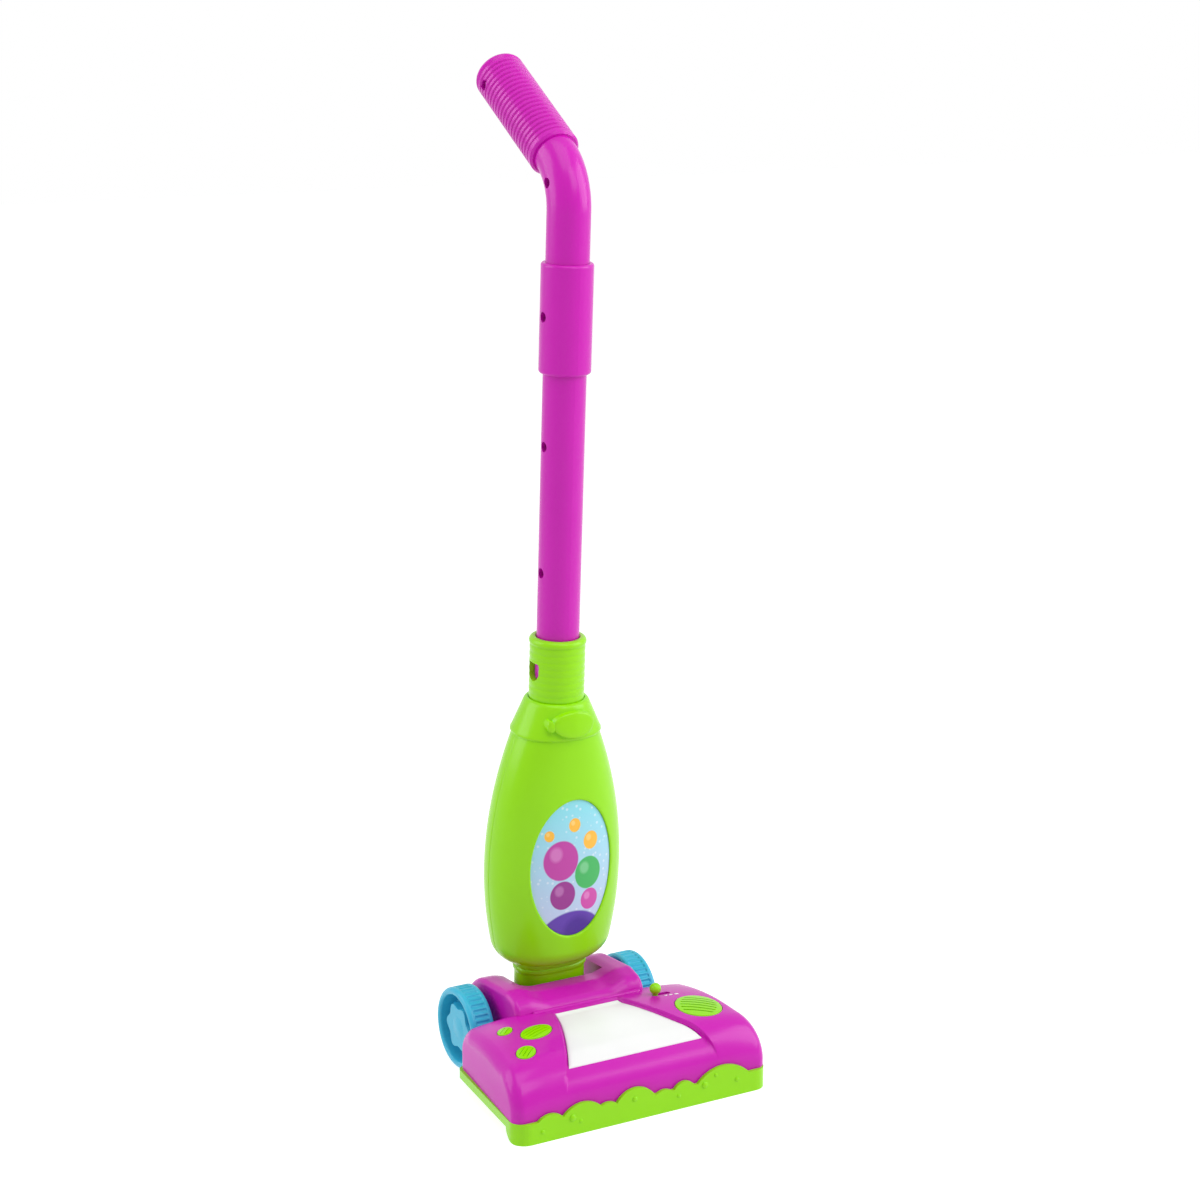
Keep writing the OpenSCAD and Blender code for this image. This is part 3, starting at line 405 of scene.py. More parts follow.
def nozzle_shell():
    """The nozzle's line carried across, each point sunk along its normal.

    From the middle out: the window's bed, the channel, a smoothstep up to the panel, the panel's crown,
    and a quarter round at the side, closed by flat ends.
    """
    full = length(NOZZLE_LINE)
    run = np.concatenate([[0], np.cumsum(np.linalg.norm(np.diff(NOZZLE_LINE, axis=0), axis=1))])
    at_rear, at_front = np.interp([WINDOW_REAR, WINDOW_FRONT], -NOZZLE_LINE[:, 0] + 1e-9 * run, run)
    walls = [at_rear - 0.05, at_rear + 0.05, at_front - 0.05, at_front + 0.05]
    places = np.sort(np.concatenate([np.linspace(0, full, 170), walls]))[:, None]
    line = along(NOZZLE_LINE, places[:, 0])
    after, before = (along(NOZZLE_LINE, np.clip(places[:, 0] + d, 0, full)) for d in (0.3, -0.3))
    tangent = after - before
    tangent /= np.linalg.norm(tangent, axis=1, keepdims=True)
    normal = np.stack([tangent[:, 1], -tangent[:, 0]], 1)
    y, z = line[:, :1], line[:, 1:]
    half = half_width(y)
    step_in = window_half(-y) + CHANNEL_MARGIN - CHANNEL_STEP / 2
    step_out = step_in + CHANNEL_STEP
    fade = 1 - smooth(at_front + FADE_START, at_front + FADE_END, places)
    sunk = ((places > at_rear) & (places < at_front)) * WINDOW_SINK
    t = np.linspace(0, 1, 9)[None, :]
    glass = window_half(-y) + 0.2
    inner = glass * np.linspace(0, 1, 16)[None, :]
    lip = np.concatenate([glass + 0.08, step_in], 1)
    step = step_in + CHANNEL_STEP * t[:, 1:]
    panel = step_out + (half - EDGE_R - step_out) * np.linspace(0, 1, 14)[None, 1:]
    bend = np.linspace(0, np.pi / 2, 12)[None, 1:]
    edge = half - EDGE_R + EDGE_R * np.sin(bend)
    drop = channel_drop(-y) * fade
    level = np.clip(normal[:, 1:], 0, 1)
    fall = crown(panel, y) * level
    end_fall = fall[:, -1:]
    round_off = end_fall + (CROWN * level - end_fall) * np.sin(bend) + EDGE_R * (1 - np.cos(bend))
    rise = drop * (1 - smooth(0, 1, t[:, 1:]))
    x = np.concatenate([inner, lip, step, panel, edge], 1)
    sink = np.concatenate([0 * inner + drop + sunk, 0 * lip + drop, rise, fall, round_off], 1)
    right = np.stack([x, y - normal[:, :1] * sink, z - normal[:, 1:] * sink], -1)
    left = right[:, :0:-1] * [-1, 1, 1]
    grid = np.concatenate([left, right], 1)
    rows, cols = grid.shape[:2]
    faces = quads(rows, cols, False).tolist()
    faces += [[r * cols for r in range(rows)], [r * cols + cols - 1 for r in range(rows)][::-1]]
    faces += [list(range(cols)) + list(range((rows - 1) * cols, rows * cols))[::-1]]
    return grid.reshape(-1, 3), faces


HOUSING_HALF, HOUSING_AHEAD, HOUSING_R = 43.5, 42.0, 26.4
HOUSING_CROWN, HOUSING_DIP, HOUSING_EDGE, HOUSING_ROUND = 2.0, 3.0, 3.4, 11
DIP_HALF, DIP_END = 19, 35
SLOT_HALF, SLOT_AHEAD = 28.5, 16.0
BEAD_R, BEAD_Z, AXLE_HOLE_R = 1.3, 42.9, 3.4


def housing_ring(x, inset):
    """Housing's outline at x: upright front, crown and round rear, lowered between the ends."""
    drop = HOUSING_DIP * (1 - smooth(DIP_HALF, DIP_END, abs(x)))
    top = AXLE[2] + HOUSING_R - inset - drop
    front = -HOUSING_AHEAD + inset
    line = rounded([(front, SEAM), (front, top - HOUSING_CROWN - drop / 3),
                    (-HOUSING_R, top + HOUSING_CROWN - drop / 3), (0, top)],
                   [0, HOUSING_ROUND - inset - drop * 0.8, HOUSING_ROUND, 0], 14)
    r = HOUSING_R - inset - drop
    a = np.linspace(0, np.pi / 2, 24)[1:]
    rear = np.stack([r * np.sin(a), AXLE[2] + r * np.cos(a)], 1)
    ring = np.concatenate([line, rear, [[r, SEAM]]])
    return np.column_stack([np.full(len(ring), x), ring])


def housing_shell():
    """The housing's outline carried along X, with rounded ends."""
    bend = np.linspace(np.pi / 2, 0, 10)
    flat = HOUSING_HALF - HOUSING_EDGE
    ends = [(flat + HOUSING_EDGE * math.sin(a), HOUSING_EDGE * (1 - math.cos(a))) for a in bend]
    middle = [(x, 0.0) for x in np.linspace(flat - 0.8, 0.8 - flat, 90)]
    stations = ends + middle + [(-x, i) for x, i in ends[::-1]]
    return loft([housing_ring(x, i) for x, i in stations])


def rod(start, end, r, turns=24, dome=0.0):
    """Rings of a rod along X whose ends close in elliptic caps of the given dome height."""
    caps = np.linspace(0, 1, 7) * np.pi / 2
    height = dome * (1 - np.cos(caps))
    x = np.concatenate([start + height, end - height[::-1]])[:, None]
    radii = r * np.concatenate([np.sin(caps), np.sin(caps[::-1])])[:, None] + 1e-3
    a = np.linspace(0, 2 * np.pi, turns, endpoint=False)
    return np.stack([x + 0 * a, radii * np.cos(a), radii * np.sin(a)], -1)


def block(low, high):
    """Box between two corners."""
    (x0, y0, z0), (x1, y1, z1) = low, high
    ring = np.array([(x0, y0), (x1, y0), (x1, y1), (x0, y1)])
    return loft([np.column_stack([ring, np.full(4, z)]) for z in (z0, z1)])


def oval_ring(spot, grow, turns=72):
    """Plan of an oval: half sizes along and across its axis, turned by its angle."""
    x, ahead, a, b, turn = spot
    t = np.linspace(0, 2 * np.pi, turns, endpoint=False)
    u, v = (a + grow) * np.cos(t), (b + grow) * np.sin(t)
    c, s = math.cos(math.radians(turn)), math.sin(math.radians(turn))
    return np.stack([x + u * c - v * s, -ahead + u * s + v * c], 1)


def seat(spot, grow=0.35, depth=0.9):
    """Cutter under an inlay: its plan carried from just below the skin to above it."""
    ring = oval_ring(spot, grow)
    skin = panel_top(ring[:, 1], ring[:, 0])
    return loft([np.column_stack([ring, skin - depth]), np.column_stack([ring, skin + 4])])


# Inlays: place across, distance ahead of the axle, half sizes and turn in degrees
OVAL_LARGE = (-46.0, 70.0, 11.2, 7.2, 22.0)
OVAL_MEDIUM = (-62.6, 88.6, 7.1, 5.4, 42.0)
OVAL_SMALL = (-60.4, 58.7, 6.0, 4.1, 43.0)
GRILLE = (57.0, 80.5, 14.0, 14.0, -32.0)
KNOB_X, KNOB_AHEAD, KNOB_TRAVEL = 42.0, 56.0, 8.0
STEM_SLOT_R = 2.0


def knob_slot():
    """Cutter for the knob's stem: a round-ended slot with room for the slider below."""
    t = np.linspace(-np.pi / 2, np.pi / 2, 14)
    end = STEM_SLOT_R * np.stack([np.cos(t), np.sin(t)], 1)
    rest = np.array([KNOB_X, -KNOB_AHEAD])
    ring = np.concatenate([end + rest + [KNOB_TRAVEL, 0], -end + rest])
    return loft([np.column_stack([ring, np.full(len(ring), z)]) for z in (18.0, 60.0)])


def make_cover():
    """Nozzle less the seats and the knob's slot, housing less the foot's slot, and the bead between."""
    bead = rod(-HOUSING_HALF + 10, HOUSING_HALF - 4, BEAD_R, dome=BEAD_R)
    bead = bead + [0, -HOUSING_AHEAD - 0.5, BEAD_Z]
    slot = block((-SLOT_HALF, -SLOT_AHEAD, 0), (SLOT_HALF, 60, 90))
    slider = block((KNOB_X - 6, -KNOB_AHEAD - 4, 14), (KNOB_X + KNOB_TRAVEL + 6, -KNOB_AHEAD + 4, 42.0))
    seats = [seat(s) for s in (OVAL_LARGE, OVAL_MEDIUM, OVAL_SMALL, GRILLE)]
    axle = rod(-60, 60, AXLE_HOLE_R) + [0, 0, AXLE[2]]
    piece("nozzle_cover", [nozzle_shell()], on_base, MAGENTA, "base", ["base_cover"],
          seats + [slider, knob_slot()])
    piece("axle_housing", [housing_shell()], on_base, MAGENTA, "base", (), [slot, loft(axle)])
    piece("housing_bead", [loft(bead)], on_base, MAGENTA, "base")


WINDOW_GAP, WINDOW_LIFT, WINDOW_T, WINDOW_EDGE = 0.15, 0.15, 1.1, 0.45


def make_window():
    """The white panel: the channel's skin inside the flared outline, with a thickness below."""
    inside = np.linspace(WINDOW_REAR + 0.6, WINDOW_FRONT - 0.6, 60)
    ahead = np.concatenate([[WINDOW_REAR + WINDOW_GAP], inside, [WINDOW_FRONT - WINDOW_GAP]])
    across = np.concatenate([[-1], np.linspace(-0.985, 0.985, 40), [1]])
    x = (window_half(ahead) - 0.05)[:, None] * across
    y = -ahead[:, None] + 0 * x
    edge = np.zeros(x.shape)
    edge[[0, -1]] = edge[:, 0] = edge[:, -1] = WINDOW_EDGE
    bed = panel_top(y) - channel_drop(-y)
    rows, cols = x.shape
    upper, lower = np.stack([x, y, bed + WINDOW_LIFT - edge], -1), np.stack([x, y, bed - WINDOW_T], -1)
    n = rows * cols
    faces = quads(rows, cols, False).tolist()
    faces += [[i + n for i in f[::-1]] for f in faces]
    rim = [r * cols for r in range(rows)] + [(rows - 1) * cols + c for c in range(1, cols)]
    rim += [r * cols + cols - 1 for r in range(rows - 2, -1, -1)] + list(range(cols - 2, 0, -1))
    faces += [[a, b, b + n, a + n] for a, b in zip(rim, rim[1:] + rim[:1])]
    points = np.concatenate([upper.reshape(-1, 3), lower.reshape(-1, 3)])
    piece("window_white", [(points, faces)], on_base, WHITE, "base", ["window_panel"], degrees=50)


INLAY_PROUD, SLOT_SHARE = 0.3, 0.74


def inlay(name, node, spot, slots, width, depth, rise):
    """A crowned oval on the skin, in rings from its middle to its rim, less slots along its axis."""
    share = np.concatenate([np.linspace(0.04, 0.94, 16), [0.98, 1.0, 1.0]])[:, None]
    ring, centre = oval_ring(spot, 0, 120), np.array([spot[0], -spot[1]])
    plan = centre + share[..., None] * (ring - centre)
    lift = rise * (1 - share ** 2) + INLAY_PROUD + 0 * plan[..., 0]
    lift[-2:] = [[-0.1], [-0.8]]
    top = panel_top(plan[..., 1], plan[..., 0]) + lift
    c, n = math.cos(math.radians(spot[4])), math.sin(math.radians(spot[4]))
    cuts = []
    for v in slots:
        reach = spot[2] * SLOT_SHARE * math.sqrt(max(0.1, 1 - (v / spot[3]) ** 2))
        t = np.linspace(-np.pi / 2, np.pi / 2, 8)
        end_cap = width / 2 * np.stack([np.cos(t), np.sin(t)], 1)
        flat = np.concatenate([end_cap + [reach, v], -end_cap + [-reach, v]])
        flat = centre + np.stack([flat[:, 0] * c - flat[:, 1] * n, flat[:, 0] * n + flat[:, 1] * c], 1)
        floor = panel_top(flat[:, 1], flat[:, 0]) + rise * 0.7 + INLAY_PROUD - depth
        cuts.append(loft([np.column_stack([flat, floor]), np.column_stack([flat, floor + 6])]))
    oval = loft(np.concatenate([plan, top[..., None]], -1))
    piece(name, [oval], on_base, LIME, "base", [node], cuts, degrees=45)


def make_inlays():
    """Three slotted ovals on the left panel and the slotted grille on the right one."""
    inlay("oval_large_inlay", "oval_large", OVAL_LARGE, (-3.6, -1.2, 1.2, 3.6),
          width=0.55, depth=0.55, rise=0.5)
    inlay("oval_medium_inlay", "oval_medium", OVAL_MEDIUM, (-2.4, 0, 2.4),
          width=0.5, depth=0.5, rise=0.4)
    inlay("oval_small_inlay", "oval_small", OVAL_SMALL, (-1.3, 1.3),
          width=0.45, depth=0.45, rise=0.3)
    inlay("grille_disc", "speaker_grille", GRILLE, np.linspace(-8.2, 8.2, 6),
          width=0.95, depth=1.5, rise=0.7)


# Marks beside the knob: place across and along, and half length
MARKS = [(46.8, -60.2, 1.1), (50.1, -60.4, 1.2), (53.9, -60.6, 1.5)]


def make_marks():
    """Three raised marks beside the knob, in rising size."""
    shells = []
    for x, y, r in MARKS:
        ring = oval_ring((x, -y, r, r * 0.55, 0), 0, 24)
        centre = np.array([x, y])
        rows = [(0.15, 0.28), (0.6, 0.24), (0.9, 0.14), (1.0, -0.3)]
        plans = [(centre + s * (ring - centre), h) for s, h in rows]
        shells.append(loft([np.column_stack([q, panel_top(q[:, 1], q[:, 0]) + h]) for q, h in plans]))
    piece("switch_marks", shells, on_base, WHITE, "base")


# Beads on the bumper: place across, height and radius
BEADS = [(-67.4, 6.6, 1.3), (-48.2, 10.6, 2.1), (-43.0, 7.6, 1.2), (-7.8, 13.0, 1.7), (21.5, 8.3, 1.2),
         (39.1, 11.2, 2.1), (46.5, 15.7, 1.2), (61.0, 10.0, 1.5)]
BEAD_FLAT, BEAD_ROOT = 0.55, 0.8


def make_beads():
    """Round beads on the bumper's front: half balls flattened along Y."""
    a = np.linspace(0, 2 * np.pi, 28, endpoint=False)
    lift = np.linspace(0.08, 1, 9)[:, None] * np.pi / 2
    shells = []
    for x, z, r in BEADS:
        out = -REACH - BEAD_FLAT * r * np.cos(lift) + 0 * a
        rows = np.stack([x + r * np.sin(lift) * np.cos(a), out, z + r * np.sin(lift) * np.sin(a)], -1)
        shells.append(loft(np.concatenate([rows, rows[-1:] + [0, BEAD_ROOT, 0]])))
    piece("bumper_beads", shells, on_base, LIME, "base")


# Wheels

WHEEL_X, WHEEL_W, WHEEL_R, BORE_R = 48.3, 15.0, 24.6, 3.05
HUB_R, HUB_IN, HUB_OUT = 7.0, 4.4, 6.9
DISH, RIBS, RIB_D = 4.0, 44, 0.75
BOSS_R, BOSS_LOBE, BOSS_LOBES, BOSS_RISE = 14.2, 1.4, 6, 9.0
PLUG_R, PLUG_IN, PLUG_OUT = 7.2, 11.6, 13.0


def wheel_shell(side):
    """Wheel about X: a closed outline turned round, with ribs on the tread and a lobed boss in the dish.

    The boss is the dish's floor, raised inside a radius that waves with the angle. A plug closes it.
    """
    x0, x1 = WHEEL_X, WHEEL_X + WHEEL_W
    hub = HUB_R * 0.8
    outline = rounded([(BORE_R, x0 - HUB_IN), (HUB_R, x0 - HUB_IN), (HUB_R, x0), (WHEEL_R, x0),
                       (WHEEL_R, x1), (WHEEL_R - 4.2, x1), (WHEEL_R - 5.2, x0 + DISH), (hub, x0 + DISH),
                       (hub, x0 + HUB_OUT), (BORE_R, x0 + HUB_OUT)],
                      [0, 0.6, 0.4, 1.8, 2.4, 1.6, 1.6, 0, 0.5, 0], 8)
    closed = np.concatenate([outline, outline[:1]])
    profile = along(closed, np.linspace(0, length(closed), 230)[:-1])

    def bulge(r, x, angle):
        """Grooves between the tread's ribs, and the boss."""
        tread = smooth(x0 + 2.6, x0 + 3.2, x) * (1 - smooth(x1 - 3.8, x1 - 3.2, x)) * (r > WHEEL_R - 0.5)
        rib = np.abs((angle * RIBS / (2 * np.pi)) % 1 - 0.5) * 2
        floor = (np.abs(x - x0 - DISH) < 0.6) & (r < WHEEL_R - 5) & (r > hub)
        lobe = BOSS_R + BOSS_LOBE * np.cos(BOSS_LOBES * angle)
        rise = BOSS_RISE * (1 - smooth(lobe - 1.0, lobe + 1.0, r)) * floor
        return r - RIB_D * tread * smooth(0.3, 0.62, rib), x + rise * smooth(hub, hub + 1.0, r)

    face = rounded([(0.05, x0 + PLUG_IN), (PLUG_R, x0 + PLUG_IN), (PLUG_R, x0 + PLUG_OUT),
                    (0.05, x0 + PLUG_OUT + 0.4)], [0, 0, 0.6, 0], 6)
    a = np.linspace(0, 2 * np.pi, 48, endpoint=False)
    r, x = face[:, :1], face[:, 1:]
    plug = loft(np.stack([r * np.cos(a), r * np.sin(a), x + 0 * a], -1))
    shells = [revolve(profile, RIBS * 8, bulge), plug]
    return [(np.stack([side * p[:, 2], p[:, 0], p[:, 1]], 1) + [0, 0, AXLE[2]], f) for p, f in shells]


def make_wheels():
    """A wheel on each side, mirrored."""
    piece("wheel_left_tyre", wheel_shell(-1), on_base, SKY, "wheel_left", ["wheel_left"])
    piece("wheel_right_tyre", wheel_shell(1), on_base, SKY, "wheel_right", ["wheel_right"])


# Bag, shoulder, badge and picture, in millimetres up the tube's line from the axle

BAG_FOOT, BAG_MID, BAG_TOP = 35.5, 95.0, 180.0
BAG_W, BAG_D, TOP_W, TOP_D = 42.4, 28.5, 25.7, 22.3
BAG_ROUND, BAG_POWER = 13.0, 2.2
FOOT_RISE, FOOT_IN_W, FOOT_IN_D = 7, 6.5, 2.5
LIP_H, SCREW_X, SCREW_HOLE_R = 9, 24, 3.0
SEAM_D, SEAM_W = 0.006, 0.45
PICTURE_W, PICTURE_H, PICTURE_S, PICTURE_SINK = 53.5, 85.0, 101.0, 1.3
PICTURE_GAP, PICTURE_T = 0.15, 1.4


def bag_half(s):
    """Half width and half depth of the bag at a height: parabolas about its widest level."""
    s = np.asarray(s, float)
    up, down = (s - BAG_MID) / (BAG_TOP - BAG_MID), (BAG_MID - s) / (BAG_MID - BAG_FOOT - FOOT_RISE)
    w = BAG_W - np.where(s > BAG_MID, (BAG_W - TOP_W) * up ** 2, FOOT_IN_W * down ** 2)
    d = BAG_D - np.where(s > BAG_MID, (BAG_D - TOP_D) * up ** 2, FOOT_IN_D * down ** 2)
    return w, d


def superring(a, b, t, power=BAG_POWER):
    """Points of a superellipse at the parameters t: signed powers of cosine and sine."""
    c, s = (np.sign(v) * np.abs(v) ** (2 / power) for v in (np.cos(t), np.sin(t)))
    return np.stack([a * c, b * s], -1)


def bag_depth(x, s):
    """Distance of the bag's front skin ahead of the parting plane."""
    w, d = bag_half(s)
    return d * np.clip(1 - np.abs(x / w) ** BAG_POWER, 0, 1) ** (1 / BAG_POWER)


def bag_shell(front):
    """Half of the bag: half superellipse rings from the rounded foot to the lip, flat at the seam."""
    bend = np.linspace(0, np.pi / 2, 16)[:-1]
    foot = BAG_FOOT + BAG_ROUND * (1 - np.cos(bend))
    body = np.linspace(BAG_FOOT + BAG_ROUND, BAG_TOP, 70)
    s = np.concatenate([foot, body, [BAG_TOP + 0.05, BAG_TOP + LIP_H]])
    inset = np.concatenate([BAG_ROUND * (1 - np.sin(bend)), 0 * body, [2.4, 4.2]])
    w, d = bag_half(np.minimum(s, BAG_TOP))
    t = (np.pi if front else 0) + np.pi * (1 - np.cos(np.linspace(0, np.pi, 121))) / 2
    ring = superring((w - inset)[:, None], (d - inset)[:, None], t[None, :])
    x, y = ring[..., 0], ring[..., 1]
    seam = 1 - SEAM_D * np.exp(-(y / SEAM_W) ** 2)
    gap = 0.05 * (-1 if front else 1)
    return loft(np.stack([x * seam, y + gap, s[:, None] + 0 * x], -1))


def picture_rings(depths, grows, turns=160):
    """Rings of the picture oval that lie at given depths below the bag's skin."""
    t = np.linspace(0, 2 * np.pi, turns, endpoint=False)
    rows = []
    for depth, grow in zip(depths, grows):
        x, s = (PICTURE_W / 2 + grow) * np.cos(t), PICTURE_S + (PICTURE_H / 2 + grow) * np.sin(t)
        rows.append(np.stack([x, -bag_depth(x, s) + depth, s], 1))
    return rows


def make_bag():
    """Front half with the picture's flared pocket, and rear half with the screws' holes."""
    bend = np.linspace(0, np.pi / 2, 8)
    flare = picture_rings(0.9 * (1 - np.cos(bend)), 1.3 * (1 - np.sin(bend)))
    flare = [flare[0] * [1, 0, 1] - [0, 45, 0]] + flare
    floor = [flare[-1] * [1, 0, 1] - [0, 12, 0]]
    pocket = loft(flare + floor)
    piece("bag_front_shell", [bag_shell(True)], on_upright, LIME, "upright", ["bag_front"], [pocket])
    hole = rod(0, 40, SCREW_HOLE_R)[:, :, [1, 0, 2]]
    places = [(x, 4.0, s) for x in (-SCREW_X, SCREW_X) for s in (BAG_FOOT + 30, BAG_TOP - 48)]
    heads = [loft(hole + np.array(p)) for p in places]
    piece("bag_rear_shell", [bag_shell(False)], on_upright, LIME, "upright", ["bag_rear"], heads)


def make_picture():
    """The picture panel: rings of its oval from the middle out, a little below the bag's skin."""
    t = np.linspace(0, 2 * np.pi, 160, endpoint=False)
    share = np.linspace(0.01, 1, 40)[:, None]
    x = share * (PICTURE_W / 2 - PICTURE_GAP) * np.cos(t)
    s = PICTURE_S + share * (PICTURE_H / 2 - PICTURE_GAP) * np.sin(t)
    rows = np.stack([x, -bag_depth(x, s) + PICTURE_SINK, s], -1)
    back = rows[-1:] + [0, PICTURE_T, 0]
    film = loft(np.concatenate([rows, back]))
    piece("picture_film", [film], on_upright, FILM, "upright", ["picture_panel"])


NECK_S, NECK_LEN, NECK_R, TUBE_R = 199.0, 38.0, 16.2, 12.5
SHOULDER_TOP = 18.6


def make_shoulder():
    """Shoulder cap: rings from the rolled lip over the bag, straight up to a rounded top at the neck."""
    low, top = BAG_TOP, NECK_S + 1.0
    # Levels: height, share of the way from the bag's lip to the neck, and how far proud
    levels = [(low - 0.9, 0, -1.4), (low - 0.9, 0, -0.2), (low - 0.5, 0, 0.75), (low + 0.4, 0, 1.25),
              (low + 1.6, 0.04, 1.35), (low + 2.6, 0.10, 1.2)]
    slope, run = np.linspace(0, 1, 14)[1:], top - 2.4 - low - 2.6
    levels += [(low + 2.6 + run * u, 0.10 + 0.86 * u, 1.2 - 0.5 * u) for u in slope]
    levels += [(top - 1.2, 0.99, 0.3), (top - 0.4, 1.0, -0.4), (top, 1.0, -1.4), (top, 1.0, -1.9),
               (top - 1.2, 1.0, -2.3)]
    t = np.linspace(0, 2 * np.pi, 144, endpoint=False)
    rows = []
    for z, share, proud in levels:
        a = TOP_W + (SHOULDER_TOP - TOP_W) * share + proud
        b = TOP_D + (SHOULDER_TOP - TOP_D) * share + proud
        rows.append(np.column_stack([superring(a, b, t, BAG_POWER - 0.2 * share), np.full(len(t), z)]))
    piece("shoulder_cap", [loft(rows)], on_upright, LIME, "upright", ["shoulder_cover"])


# Badge's face: share of the way to its edge, and lift
BADGE_FACE = [(0.02, 0.45), (0.5, 0.4), (0.86, 0.25), (0.94, 0.1), (0.98, -0.15), (1.0, -0.5)]
BADGE_LEAN, BADGE_CURVE = 0.17, 0.013


def make_badge():
    """Bare badge: an oval plate with rounded edges that leans on the shoulder, and its lug."""
    t = np.linspace(0, 2 * np.pi, 96, endpoint=False)
    middle = BAG_TOP + 9.2

    def plate(cx, a, b, face, back):
        """Oval rings from the middle out, on a face that leans back and curves round the shoulder."""
        rows = []
        for share, lift in BADGE_FACE:
            x, s = cx + share * a * np.cos(t), middle + share * b * np.sin(t)
            y = -face - lift + BADGE_LEAN * (s - middle) + BADGE_CURVE * x ** 2
            rows.append(np.stack([x, y, s], 1))
        rows.append(rows[-1] * [1, 0, 1] + [0, -back, 0])
        return loft(rows)

    plates = [plate(0, 13.2, 7.6, 24.3, 15.0), plate(-14.4, 2.2, 3.4, 24.0, 15.0)]
    piece("badge_plate", plates, on_upright, LIME, "upright", ["badge"], degrees=40)


BUTTON_S = NECK_S + NECK_LEN * 0.496
NECK_RIBS, NECK_RIB_D, LIP_R, LIP_OUT = 8, 0.22, 2.6, 0.6
D_HALF, D_LOW, D_HIGH, D_ROUND = 5.6, -0.8, 4.6, 1.2


def d_outline():
    """The D of the lock button: a half circle below a box with rounded upper corners."""
    a = np.linspace(np.pi, 2 * np.pi, 22)
    bow = D_HALF * np.stack([np.cos(a), np.sin(a)], 1) + [0, D_LOW]
    box = rounded([(D_HALF, D_LOW), (D_HALF, D_HIGH), (-D_HALF, D_HIGH), (-D_HALF, D_LOW)],
                  [0, D_ROUND, D_ROUND, 0], 6)
    return np.concatenate([bow, box[1:-1]]) + [0, BUTTON_S]


def make_button():
    """Lock button's face: shrunken copies of the D on a cylinder about the tube, with a flat back."""
    share = np.linspace(0.04, 0.93, 14)[:, None, None]
    middle = np.array([0, BUTTON_S])
    y, z = np.moveaxis(middle + share * (d_outline() - middle), -1, 0)
    face = np.stack([-np.sqrt((TUBE_R + 0.5) ** 2 - y ** 2), y, z], -1)
    back = face[-1:] * [0, 1, 1] - [TUBE_R - 1.2, 0, 0]
    piece("lock_button_face", [loft(np.concatenate([face, back]))], on_upright, MAGENTA, "lock_button",
          ["lock_button"])


def make_neck():
    """Ribbed neck: an outline of soft ribs and a rolled lip turned about the tube, less the D window."""
    end = NECK_S + NECK_LEN
    pitch = (NECK_LEN - 4.5) / NECK_RIBS
    z = np.linspace(NECK_S - 9, end - 3.2, 170)
    rib = NECK_RIB_D * np.sin(np.pi * (((z - NECK_S) / pitch) % 1)) ** 0.8 * (z > NECK_S)
    lip = np.linspace(-np.pi / 6, np.pi / 2, 14)
    top = np.stack([NECK_R + LIP_OUT + LIP_R * (np.cos(lip) - 1), end + LIP_R * (np.sin(lip) - 1)], 1)
    outer = np.concatenate([np.stack([NECK_R - 0.1 + rib, z], 1), top])
    inner = np.array([[TUBE_R + 0.9, end], [TUBE_R + 0.2, end - 0.7], [TUBE_R + 0.15, NECK_S + 2],
                      [TUBE_R - 4, NECK_S + 2], [TUBE_R - 4, NECK_S - 9]])
    d = d_outline()
    window = loft([np.column_stack([np.full(len(d), x), d]) for x in (-30.0, -TUBE_R + 2)])
    piece("neck_ribbed", [revolve(np.concatenate([outer, inner]), 144)], on_upright, LIME, "upright",
          ["neck_socket"], [window])


FOOT_W, FOOT_D, FOOT_POWER, BARREL_R = 46.0, 27.0, 2.6, 11.0


def make_foot():
    """Foot: a rounded sleeve with two fine rings under the bag, on the barrel that turns on the axle."""
    # Levels: height above the axle and growth of the outline
    levels = np.array([(6, -0.9), (28.0, -0.9), (29.0, -0.75), (29.8, -0.2), (30.6, 0), (31.6, 0),
                       (32.0, -0.35), (32.3, -0.5), (32.6, -0.35), (33.0, 0), (34.5, 0.3),
                       (38, 0.6), (42, 0.6)])
    z, grow = levels[:, :1], levels[:, 1:]
    t = np.linspace(0, 2 * np.pi, 120, endpoint=False)
    outline = superring(FOOT_W / 2 + grow, FOOT_D / 2 + grow, t, FOOT_POWER)
    rows = np.concatenate([outline, (z + 0 * t)[..., None]], -1)
    barrel = rod(-SLOT_HALF + 0.5, SLOT_HALF - 0.5, BARREL_R, 64, 0.6)
    piece("foot_sleeve", [loft(rows), loft(barrel)], on_upright, LIME, "upright", ["hinge_foot"])


make_cover()
make_window()
make_inlays()
make_marks()
make_beads()
make_wheels()
make_bag()
make_picture()
make_shoulder()
make_badge()
make_button()
make_neck()
make_foot()


# Camera at the photograph's angle

CAMERA_AZIMUTH = -29.8
CAMERA_ELEVATION = 13.52
CAMERA_DISTANCE = 1457.45
CAMERA_TARGET = (-1.6, -38.0, 293.2)
CAMERA_LENS, CAMERA_SENSOR, CAMERA_FAR = 78.0, 36, 20


def direction(azimuth, elevation):
    """Unit vector from the part towards a viewer: azimuth from the front, elevation from the floor."""
    a, e = math.radians(azimuth), math.radians(elevation)
    return Vector((math.sin(a) * math.cos(e), -math.cos(a) * math.cos(e), math.sin(e)))


def aim(obj, place, target):
    """Puts a camera or lamp at a place, looking at a target."""
    obj.location = place
    obj.rotation_euler = (Vector(target) - Vector(place)).to_track_quat("-Z", "Y").to_euler()
    bpy.context.scene.collection.objects.link(obj)


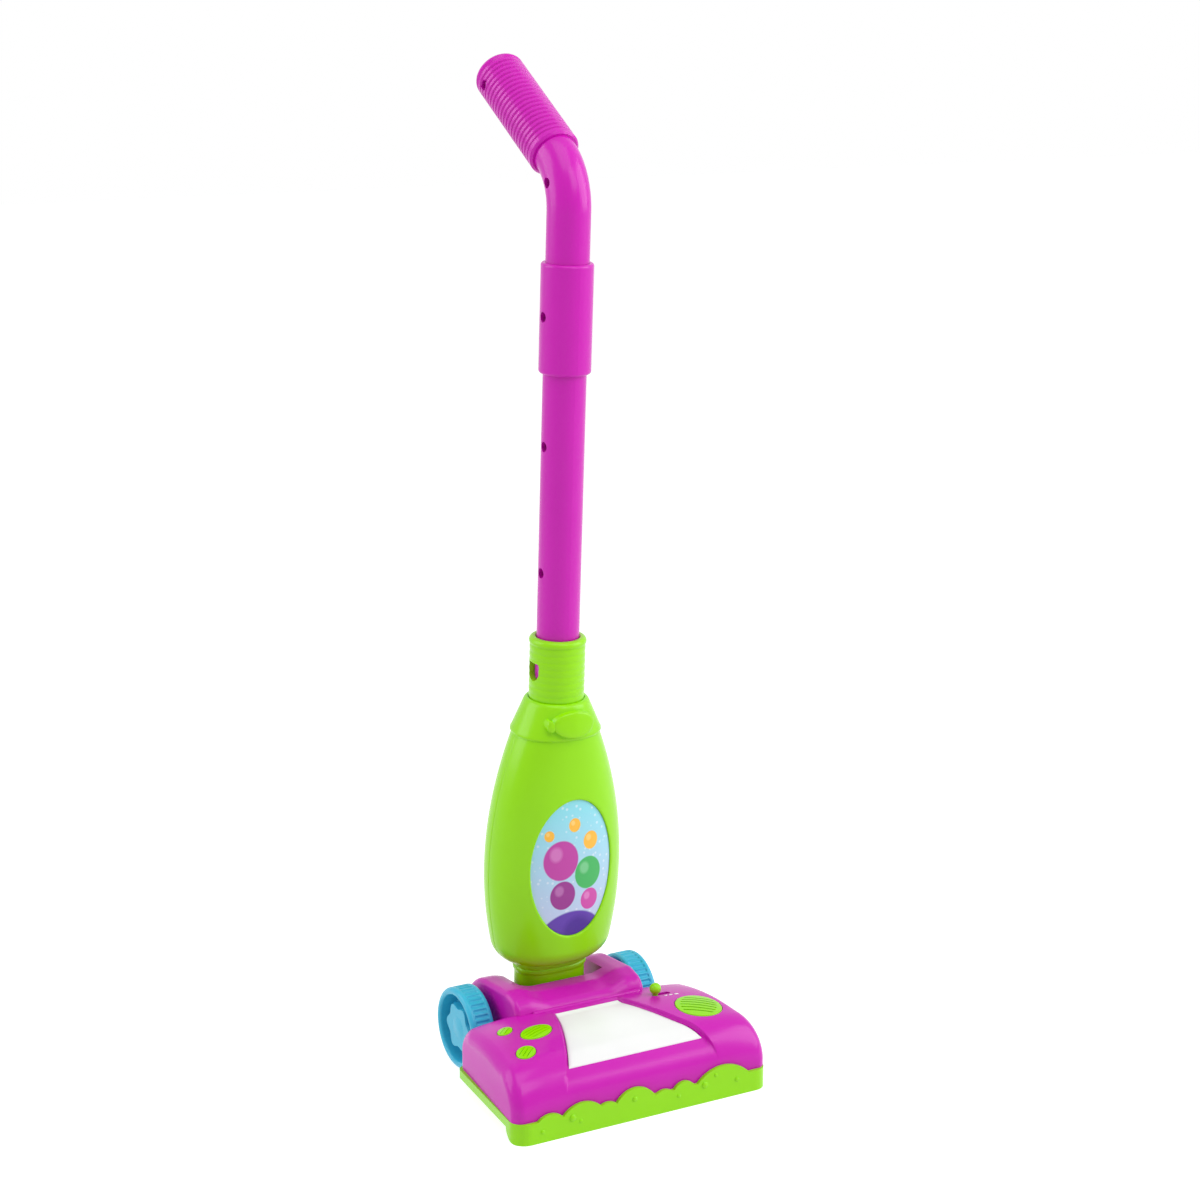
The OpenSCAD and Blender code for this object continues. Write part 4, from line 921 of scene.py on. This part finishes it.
def make_camera():
    """Camera on its line from the target, at the photograph's azimuth and elevation."""
    data = bpy.data.cameras.new("camera")
    data.lens = CAMERA_LENS
    data.sensor_width = CAMERA_SENSOR
    data.clip_end = CAMERA_FAR
    target = Vector(CAMERA_TARGET) * MM
    camera = bpy.data.objects.new("camera", data)
    aim(camera, target + direction(CAMERA_AZIMUTH, CAMERA_ELEVATION) * CAMERA_DISTANCE * MM, target)
    bpy.context.scene.camera = camera


make_camera()


# Floor and light, in metres

FLOOR_REACH, FLOOR_GREY = 6.0, 0.45
FLOOR_GLOW, FLOOR_SHOWN = 0.45, 0.8
WORLD_GLOW, WORLD_SHOWN = 0.36, 1.0


def shown_rays(tree):
    """1 for rays that show the surroundings: those of the camera, of mirrors and through clear parts."""
    path = tree.nodes.new("ShaderNodeLightPath").outputs
    value = path["Is Camera Ray"]
    for name in ("Is Glossy Ray", "Is Transmission Ray"):
        larger = tree.nodes.new("ShaderNodeMath")
        larger.operation = "MAXIMUM"
        tree.links.new(value, larger.inputs[0])
        tree.links.new(path[name], larger.inputs[1])
        value = larger.outputs["Value"]
    return value


def make_floor():
    """Pale floor that the camera sees as white away from the part's shadow."""
    mesh = bpy.data.meshes.new("floor")
    r = FLOOR_REACH
    mesh.from_pydata([(-r, -r, 0), (r, -r, 0), (r, r, 0), (-r, r, 0)], [], [(0, 1, 2, 3)])
    floor = bpy.data.objects.new("floor", mesh)
    bpy.context.scene.collection.objects.link(floor)
    mat, tree, shader, _ = new_material("floor_white")
    shader.inputs["Base Color"].default_value = (FLOOR_GREY, FLOOR_GREY, FLOOR_GREY, 1)
    shader.inputs["Roughness"].default_value = 0.8
    shader.inputs["Emission Color"].default_value = (1, 1, 1, 1)
    glow = spread(tree, shown_rays(tree), FLOOR_GLOW, FLOOR_SHOWN)
    tree.links.new(glow, shader.inputs["Emission Strength"])
    mesh.materials.append(mat)


LIGHT_TARGET = Vector((0, 0, 0.3))


def softbox(name, azimuth, elevation, distance, width, height, power):
    """A rectangular lamp aimed at the part's middle."""
    data = bpy.data.lights.new(name, "AREA")
    data.shape = "RECTANGLE"
    data.size, data.size_y = width, height
    data.energy = power
    place = LIGHT_TARGET + direction(azimuth, elevation) * distance
    aim(bpy.data.objects.new(name, data), place, LIGHT_TARGET)


def make_world():
    """Even grey light from all round, shown to the camera and in reflections as plain white."""
    world = bpy.data.worlds.new("studio")
    bpy.context.scene.world = world
    world.use_nodes = True
    tree = world.node_tree
    back = tree.nodes["Background"]
    back.inputs["Color"].default_value = (1, 1, 1, 1)
    strength = spread(tree, shown_rays(tree), WORLD_GLOW, WORLD_SHOWN)
    tree.links.new(strength, back.inputs["Strength"])


make_floor()
make_world()
softbox("softbox_left", -118, 24, 1.6, 1.1, 1.3, 12)
softbox("softbox_right", 60, 24, 1.6, 1.1, 1.3, 15)
softbox("softbox_front", 10, 40, 1.8, 0.8, 0.8, 6)
softbox("softbox_top", -20, 72, 1.6, 1.2, 1.2, 9)

bpy.context.scene.view_settings.view_transform = "Standard"
